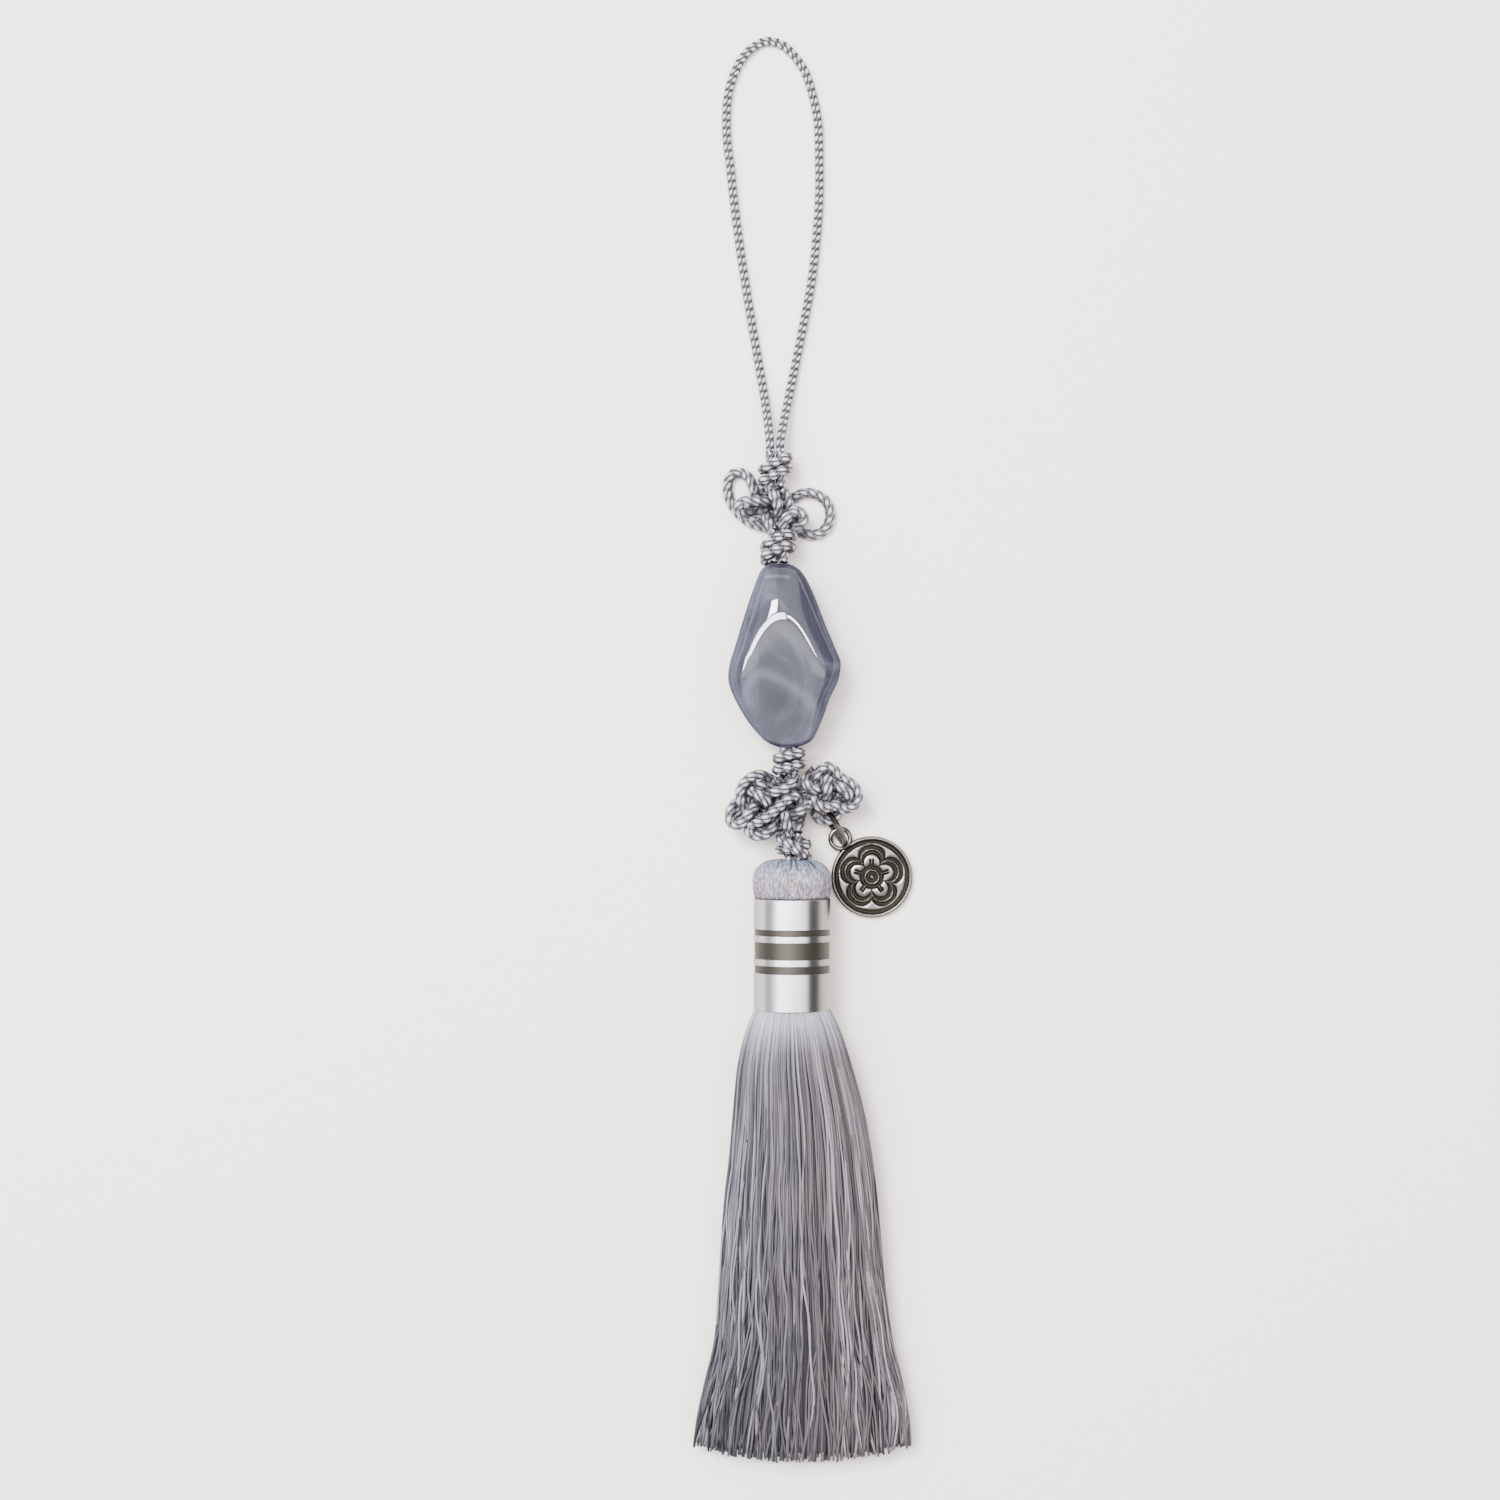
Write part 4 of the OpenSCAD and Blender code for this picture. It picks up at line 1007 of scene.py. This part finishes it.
class BeadOperator(bpy.types.Operator):
    """Shapes the free-form bead"""

    bl_idname = "norigae.bead"
    bl_label = "Bead"

    def execute(self, context):
        rows, sides = 250, 280
        low, high = BEAD_SECTIONS[0][0], BEAD_SECTIONS[-1][0]
        # places along Y, closer together towards both ends
        turn = np.linspace(0, math.pi, rows)
        y = (low + high) / 2 - (high - low) / 2 * np.cos(turn)
        left, right, top, bottom = between(BEAD_SECTIONS, y)
        # both ends are rounded over
        inside = np.maximum(0, BEAD_END_R - np.minimum(y - low, high - y))
        inset = BEAD_END_R - np.sqrt(BEAD_END_R ** 2 - inside ** 2)
        half_w, half_h = (right - left) / 2 - inset, (top - bottom) / 2 - inset
        a = TURN * np.arange(sides) / sides
        x = ((left + right) / 2)[:, None] + half_w[:, None] * power(np.cos(a), 2 / BEAD_FULLNESS)
        z = ((top + bottom) / 2)[:, None] + half_h[:, None] * power(np.sin(a), 2 / BEAD_FULLNESS)
        yy = np.broadcast_to(y[:, None], x.shape)
        z = self.ground(x, yy, z)
        skin = np.stack([x, yy, z], -1)
        skin = np.concatenate([
            self.mouth(skin[0], low)[::-1], skin, self.mouth(skin[-1], high)[:-1]])
        quads = tube_faces(len(skin), sides, True)
        points = skin.reshape(-1, 3)
        readings = self.readings(points)
        # only the upper side is glossy
        across = np.roll(skin, -1, 1) - np.roll(skin, 1, 1)
        upward = unit(np.cross(np.gradient(skin, axis=0), across))[..., 2].ravel()
        readings["gloss"] = np.clip((np.abs(upward) - 0.62) / 0.18, 0, 1) * (points[:, 2] > 6)
        bead = build("bead_body", points, quads, readings)
        enter(bead, bead_finish(), "bead")
        return {"FINISHED"}

    @staticmethod
    def ground(x, y, z):
        """The upper side's height is the soft least of its own height and of each flat's plane:
        minus the softness times the logarithm of the sum of exp(-height / softness)."""
        soft = look("bead").ridge_softness / MM
        heights = [z] + [h + sx * (x - cx) + sy * (y - cy) for h, sx, sy, cx, cy in BEAD_FLATS]
        total = sum(np.exp(-(h - z) / soft) for h in heights)
        lowered = z - soft * np.log(total)
        share = np.clip((z - BEAD_MIDDLE_Z) / 3.0, 0, 1)
        return z + (lowered - z) * share * share * (3 - 2 * share)

    @staticmethod
    def mouth(ring, y):
        """Rings from an end section into the drilled hole, and half way along it"""
        top, bottom = np.array(BORE_TOP, float), np.array(BORE_BOTTOM, float)
        share = (y - top[1]) / (bottom[1] - top[1])
        centre = top + (bottom - top) * share
        a = TURN * np.arange(len(ring)) / len(ring)
        hole = centre + BORE_R * np.stack([np.cos(a), 0 * a, np.sin(a)], 1)
        lip = (hole - centre) * 1.25 + centre
        inward = 1 if y < 60 else -1
        middle = (top + bottom) / 2
        deep = hole + (middle - centre)
        return np.stack([ring * 0.6 + lip * 0.4, lip, hole + (0, 0.35 * inward, 0),
                         hole + (0, 3 * inward, 0), deep])

    @staticmethod
    def readings(points):
        """How near each point is to the swirl, to the outline, and to the dark depths"""
        x, y, z = points.T
        swirl = curve_through(BEAD_SWIRL, 6)
        apart = np.sqrt(((points[:, None, :2] - swirl[None]) ** 2).sum(2))
        near = apart.min(1)
        under = (np.exp(-((x + 4.5) ** 2 / 30 + (y - 50.5) ** 2 / 14))
                 + 0.6 * np.exp(-((x + 8.2) ** 2 / 4 + (y - 60) ** 2 / 12)))
        core = np.exp(-((x + 4.2) ** 2 / 1.1)) * np.clip((y - 73) / 3, 0, 1)
        left, right = between(BEAD_SECTIONS, y)[:2]
        across = np.abs(x - (left + right) / 2) / np.maximum((right - left) / 2, 0.1)
        arc = np.exp(-((y - 75.4 + (x + 5) ** 2 * 0.05) / 0.3) ** 2) * (np.abs(x + 5) < 2.4)
        return {"swirl": (np.exp(-(near / 1.0) ** 2) + 1.3 * arc) * (z > 7),
                "edge": np.exp(-((across - 0.93) / 0.05) ** 2),
                "depth": np.clip(0.75 * under + 0.8 * core, 0, 1)}


class CharmOperator(bpy.types.Operator):
    """Casts the round charm with its bail, and bends the jump ring"""

    bl_idname = "norigae.charm"
    bl_label = "Charm and ring"

    def execute(self, context):
        metal = look("metal")
        rim = metal.charm_radius / MM
        rows, sides = 110, 400
        r = rim * np.linspace(0.004, 1, rows) ** 0.9
        a = TURN * np.arange(sides) / sides
        rr, aa = np.broadcast_arrays(r[:, None], a[None])
        height, patina_and_shade = self.relief(rr, aa, rim)
        # the face, and then the wall and the back: radius, height
        edge = np.array([[rim, 1.5], [rim, 0.15], [rim - 0.12, FLOOR_GAP], [0.7 * rim, FLOOR_GAP],
                         [0.35 * rim, FLOOR_GAP], [0.004 * rim, FLOOR_GAP]])
        r = np.concatenate([rr, edge[:, :1] + 0 * a])
        z = np.concatenate([height, edge[:, 1:] + 0 * a])
        points = np.stack([CHARM_AT[0] + r * np.cos(a), CHARM_AT[1] + r * np.sin(a), z], -1)
        dark = np.concatenate([patina_and_shade, np.full((len(edge), sides), 0.25)])
        points = points.reshape(-1, 3)
        bail, bail_quads, bail_painted_shade = self.hoop(BAIL_AT, 1.975, 0.475, len(points))
        charm = build("charm_disc", np.vstack([points, bail]),
                      np.vstack([tube_faces(len(dark), sides, False), bail_quads]),
                      {"patina_and_shade": np.concatenate([dark.ravel(), bail_painted_shade])})
        enter(charm, aged_metal(), "charm")
        points, quads, dark = self.hoop(
            RING_AT, 3.65, metal.wire_radius / MM, 0, (RING_TURN, RING_LEAN))
        ring = build("jump_ring_wire", points, quads, {"patina_and_shade": dark})
        enter(ring, aged_metal(), "jump_ring")
        return {"FINISHED"}

    @staticmethod
    def relief(r, a, rim):
        """Height of the charm's face, and how much patina it has: a rounded rim, a groove inside it, a
        flat field, and a raised outline of a five-petalled blossom with a ring in its middle and a
        vein down each petal"""
        petal = 3.15 + 2.35 * np.abs(np.cos(2.5 * (a - math.pi / 2))) ** 0.55
        outline = np.abs(r - petal * (rim / 8.1))
        centre = np.abs(r - 1.35)
        vein = np.abs(np.sin(2.5 * (a - math.pi / 2))) * r
        vein = np.where((r > 1.9) & (r < 3.6), vein, 9)
        line = np.minimum(np.minimum(outline, centre), vein)
        raised = np.exp(-(line / 0.2) ** 4)
        beside = np.exp(-((line - 0.58) / 0.44) ** 4)
        band = np.exp(-((r - (rim - 0.42)) / 0.26) ** 4)
        groove = np.exp(-((r - (rim - 1.12)) / 0.42) ** 4)
        outside = np.clip((r - (rim - 0.22)) / 0.15, 0, 1)
        swell = np.clip((line - 0.7) / 1.1, 0, 1)
        dome = 0.1 * (1 - (r / rim) ** 2) + 0.22 * swell * (2 - swell)
        height = 1.24 + dome + 0.45 * raised - 0.28 * beside + 0.45 * band - 0.3 * groove
        patina_and_shade = np.clip(beside + groove + 0.8 * outside - 0.9 * raised - 0.8 * band, 0, 1)
        return height, patina_and_shade

    @staticmethod
    def hoop(at, reach, wire, first, stand=None):
        """A wire bent into a circle. It lies flat, or stands on its edge with a turn about the
        upright and a lean from it, in degrees."""
        rounds, sides = 96, 14
        a, b = TURN * np.arange(rounds) / rounds, TURN * np.arange(sides) / sides
        aa, bb = np.meshgrid(a, b, indexing="ij")
        out = reach + wire * np.cos(bb)
        u, v, w = out * np.cos(aa), out * np.sin(aa), wire * np.sin(bb)
        if stand is None:
            points = np.stack([u, v, w], -1)
        else:
            t, k = (math.radians(angle) for angle in stand)
            across = v * math.sin(k) + w * math.cos(k)
            points = np.stack([across * math.cos(t) - u * math.sin(t), across * math.sin(t)
                               + u * math.cos(t), v * math.cos(k) - w * math.sin(k)], -1)
        # painted shade: the wire is painted darker where it faces in and out in the hoop's plane than
        # where it faces square to that plane, with a slow change round the hoop
        dark = np.clip(0.42 + 0.3 * np.abs(np.cos(bb)) - 0.25 * np.cos(3 * aa), 0, 1)
        return points.reshape(-1, 3) + at, tube_faces(rounds, sides, True, first), dark.ravel()


class HeadOperator(bpy.types.Operator):
    """Folds the threads over the tassel's rounded head"""

    bl_idname = "norigae.head"
    bl_label = "Tassel head"

    def execute(self, context):
        profile = curve_through(HEAD_PROFILE, 5)
        threads, per_thread = 170, 4
        sides = threads * per_thread
        rng = np.random.default_rng(5)
        lean = 0.012 * rng.standard_normal(threads)
        tone = np.repeat(0.55 + 0.07 * rng.standard_normal(threads), per_thread)
        swell = np.repeat(1 + 0.006 * rng.standard_normal(threads), per_thread)
        bump = np.abs(np.sin(math.pi * (np.arange(sides) + 0.5) / per_thread)) ** 0.7
        gap_shade = np.repeat(np.maximum(0, rng.standard_normal(threads) - 0.4), per_thread)
        points = lathe(profile, sides, swell * (1 - 0.03 * (1 - bump)))
        # each thread leans a little to one side as it nears the knot
        turn = np.repeat(lean, per_thread)[None] * np.linspace(0, 1, len(profile))[:, None]
        dx, dz = points[..., 0] - TASSEL_X, points[..., 2] - TASSEL_Z
        points[..., 0] = TASSEL_X + dx * np.cos(turn) - dz * np.sin(turn)
        points[..., 2] = np.maximum(
            TASSEL_Z + dx * np.sin(turn) + dz * np.cos(turn), FLOOR_GAP)
        y, r = profile.T
        shape = points.shape[:2]
        # painted shade: the tone darkens each thread's sides and some lines between the threads near
        # the knot
        readings = {
            "tone": tone[None] - 0.2 * (1 - bump)[None] - (
                2.6 * gap_shade[None] * np.clip((7.4 - r) / 3, 0, 1)[:, None] * (y > 15)[:, None]),
            "top": np.broadcast_to(np.clip((y - 15.6) / 2.6, 0, 1)[:, None], shape),
            # painted shade at the sleeve's edge and round the knot
            "painted_join_shade": np.broadcast_to(np.clip(1 - (y - 11.9) / 0.7, 0, 1)[:, None]
                                    + np.clip((4.2 - r) / 1.2, 0, 1)[:, None] * (y > 15)[:, None],
                                    shape)}
        head = build("head_threads", points, tube_faces(len(profile), sides, False), readings)
        enter(head, head_finish(), "tassel_head")
        return {"FINISHED"}


class SleeveOperator(bpy.types.Operator):
    """Turns the thin metal sleeve with its three dark grooves"""

    bl_idname = "norigae.sleeve"
    bl_label = "Sleeve"

    def execute(self, context):
        top, bottom, inner, outer, depth, soft = SLEEVE_TOP, -10, 7.05, SLEEVE_R, 0.16, 0.1
        line = [[top - 0.05, inner], [top, inner + 0.15], [top, outer - 0.15],
                [top - 0.15, outer]]
        for start, width in SLEEVE_GROOVES:
            edge = top - start
            line += [[edge + soft, outer], [edge, outer - depth], [edge - width, outer - depth],
                     [edge - width - soft, outer]]
        line += [[bottom + 0.15, outer], [bottom, outer - 0.15], [bottom, inner + 0.15],
                 [bottom + 0.15, inner]]
        line.reverse()
        sides = 160
        points = lathe(line, sides)
        radius = np.array(line)[:, 1]
        groove = np.where((radius < outer - depth + 0.02) & (radius > inner + 0.2), 1.0, 0.0)
        # painted shade: the metal is painted darker low on both sides, most on the right, for the
        # shade that it would reflect there
        across = (points[..., 0] - TASSEL_X) / outer
        painted_side_shade = np.where(across < 0, 0.85 * np.clip((-across - 0.5) / 0.45, 0, 1),
                        0.84 * np.clip((across - 0.37) / 0.1, 0, 1))
        sleeve = build("sleeve_tube", points, tube_faces(len(line), sides, True),
                       {"groove": np.repeat(groove, sides), "painted_side_shade": painted_side_shade})
        edges = sleeve.modifiers.new("crisp_edges", "EDGE_SPLIT")
        edges.split_angle = math.radians(35)
        enter(sleeve, bright_metal(), "tassel_sleeve")
        return {"FINISHED"}


class SkirtOperator(bpy.types.Operator):
    """Hangs the skirt of threads, in an inner body, two layers and loose threads over them"""

    bl_idname = "norigae.skirt"
    bl_label = "Tassel skirt"

    def execute(self, context):
        tassel = look("tassel")
        finish = skirt_finish()
        body = self.body()
        inner = self.layer("skirt_inner_threads", tassel.inner_threads, (0.84, 0.94), 1.0, 21)
        outer = self.layer("skirt_outer_threads", tassel.outer_threads, (0.9, 1.0), 1.8, 22)
        stray = self.layer("skirt_stray_threads", tassel.stray_threads, (0.97, 1.0), 3.0, 23)
        for piece in (body, inner, stray):
            enter(piece, finish)
        enter(outer, finish, "tassel_skirt")
        return {"FINISHED"}

    @staticmethod
    def outline(y, angle, share):
        """Point of the skirt's section at a height, at an angle round it and a share of the way
        out, and how far it is drawn up at the hem, more towards both sides"""
        left, right, top, bottom = between(SKIRT_SECTIONS, y)
        half_w, half_h = (right - left) / 2, (top - bottom) / 2
        across = share * half_w * power(np.cos(angle), 2 / SKIRT_FULLNESS)
        z = bottom + half_h + share * half_h * power(np.sin(angle), 2 / SKIRT_FULLNESS)
        return left + half_w + across, z, (across / np.maximum(half_w, 0.1)) ** 2

    def body(self):
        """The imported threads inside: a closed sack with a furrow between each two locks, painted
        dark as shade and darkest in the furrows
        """
        rows, sides, locks = 60, 480, look("tassel").locks
        y = np.linspace(HEM + 1.5, SKIRT_TOP, rows)
        a = TURN * np.arange(sides) / sides
        yy, aa = np.broadcast_arrays(y[:, None], a[None])
        rng = np.random.default_rng(3)
        crease = 0.5 + 0.5 * np.sin(locks * aa + 1.5 * np.sin(7 * aa) + 0.02 * yy)
        x, z, lift = self.outline(yy, aa, 0.9 - 0.02 * crease)
        down = (SKIRT_TOP - yy) / (SKIRT_TOP - HEM)
        points = np.stack([x, yy + HEM_LIFT * lift * down ** 3, np.maximum(z, 0.35)], -1)
        # painted shade: the inner threads are painted dark, darkest in the furrows
        tone = 0.2 - 0.18 * crease + 0.03 * rng.standard_normal(sides)[None]
        return build("skirt_shaded_core", points, tube_faces(rows, sides, False),
                     {"tone": tone, "root": np.clip(1 - down * 9, 0, 1)})

    def layer(self, name, count, depth, wander, seed):
        """Threads from the sleeve to the hem. Each keeps its angle round the section, gathers towards
        its lock on the way down, and strays by a slow and a quick wave that grow with the distance
        from the sleeve. The deeper a thread lies, the darker it is painted, as shade."""
        tassel = look("tassel")
        rng = np.random.default_rng(seed)
        rows, sides = 38, 4
        down = np.linspace(0, 1, rows)[None] ** 0.9
        locks = tassel.locks
        angle = TURN * (np.arange(count) + rng.uniform(-0.4, 0.4, count)) / count
        lock = (np.floor(angle / TURN * locks) + 0.5) / locks * TURN
        lock_tone = 0.1 * rng.standard_normal(locks)
        sunk = rng.uniform(0, 1, count)
        tone = lock_tone[(angle / TURN * locks).astype(int) % locks]
        tone = tone + 0.26 * rng.standard_normal(count)
        # painted shade: deeper threads get a lower tone
        tone = tone + 0.57 - 0.5 * (1 - depth[1] + (depth[1] - depth[0]) * sunk) / 0.16
        if depth[0] > 0.95:
            angle = rng.uniform(-0.1, 1.1, count) * math.pi
            lock = angle
            tone = 0.66 + 0.2 * rng.standard_normal(count)
        gathered = angle[:, None] + (lock - angle)[:, None] * 0.5 * down
        wave = rng.uniform(0.6, 1.9, (2, count, 1))
        quick = rng.uniform(3, 6, (count, 1))
        phase = rng.uniform(0, TURN, (3, count, 1))
        drift = rng.standard_normal((count, 1))
        grow = wander * (0.06 + down ** 1.5)
        end = HEM + rng.uniform(-0.5, 0.9, (count, 1))
        y = SKIRT_TOP + (end - SKIRT_TOP) * down
        parted = down ** 0.4
        share = (depth[1] - (depth[1] - depth[0]) * sunk)[:, None] * parted + 0.99 * (1 - parted)
        x, z, lift = self.outline(y, gathered, share)
        x = x + grow * (0.42 * np.sin(TURN * wave[0] * down + phase[0]) + 0.3 * drift * down
                        + 0.14 * np.sin(TURN * quick * down + phase[2]))
        z = z + grow * 0.16 * np.sin(TURN * wave[1] * down + phase[1])
        y = y + HEM_LIFT * lift * down ** 3
        thread = tassel.thread_radius / MM * (0.8 + 0.3 * down) * rng.uniform(0.75, 1.2, (count, 1))
        left, right, top, _ = between(SKIRT_SECTIONS, y)
        x = np.clip(x, left + thread * 0.6, right - thread * 0.6)
        z = np.clip(z, thread, top + 0.25)
        centre = np.stack([x, y, z], -1)
        along = unit(np.gradient(centre, axis=1))
        wide = unit(np.cross(along, (0, 0, 1)))
        up = np.cross(wide, along)
        a = TURN * (np.arange(sides) + 0.5) / sides
        shape = thread[..., None, None]
        ring = (centre[:, :, None] + shape * (np.cos(a)[None, None, :, None] * wide[:, :, None]
                                              + np.sin(a)[None, None, :, None] * up[:, :, None]))
        firsts = np.arange(count) * rows * sides
        quads = (tube_faces(rows, sides, False) + firsts[:, None, None]).reshape(-1, 4)
        shade = tone[:, None, None] - 0.12 * down[..., None] + np.zeros((1, 1, sides))
        root = np.clip(1 - down * 9, 0, 1)[..., None] + np.zeros((count, 1, sides))
        return build(name, ring, quads, {"tone": np.clip(shade, 0, 1), "root": root})


OPERATORS = (StageOperator, LoopOperator, KnotsOperator, BeadOperator, CharmOperator, HeadOperator,
             SleeveOperator, SkirtOperator)


class NorigaePanel(bpy.types.Panel):
    """Lists the pieces and their settings"""

    bl_idname = "VIEW3D_PT_norigae"
    bl_label = "Norigae"
    bl_space_type = "VIEW_3D"
    bl_region_type = "UI"
    bl_category = "Norigae"

    def draw(self, context):
        for operator in OPERATORS:
            self.layout.operator(operator.bl_idname)
        for name, group in LOOKS.items():
            box = self.layout.box()
            for key in group.__annotations__:
                box.prop(getattr(context.scene, name), key)


def register():
    for group in LOOKS.values():
        bpy.utils.register_class(group)
    for name, group in LOOKS.items():
        setattr(bpy.types.Scene, name, bpy.props.PointerProperty(type=group))
    for cls in (*OPERATORS, NorigaePanel):
        bpy.utils.register_class(cls)


def unregister():
    for cls in reversed((*OPERATORS, NorigaePanel)):
        bpy.utils.unregister_class(cls)
    for name in LOOKS:
        delattr(bpy.types.Scene, name)
    for group in reversed(LOOKS.values()):
        bpy.utils.unregister_class(group)


def main():
    register()
    for operator in OPERATORS:
        group, name = operator.bl_idname.split(".")
        getattr(getattr(bpy.ops, group), name)()


if __name__ == "__main__":
    main()
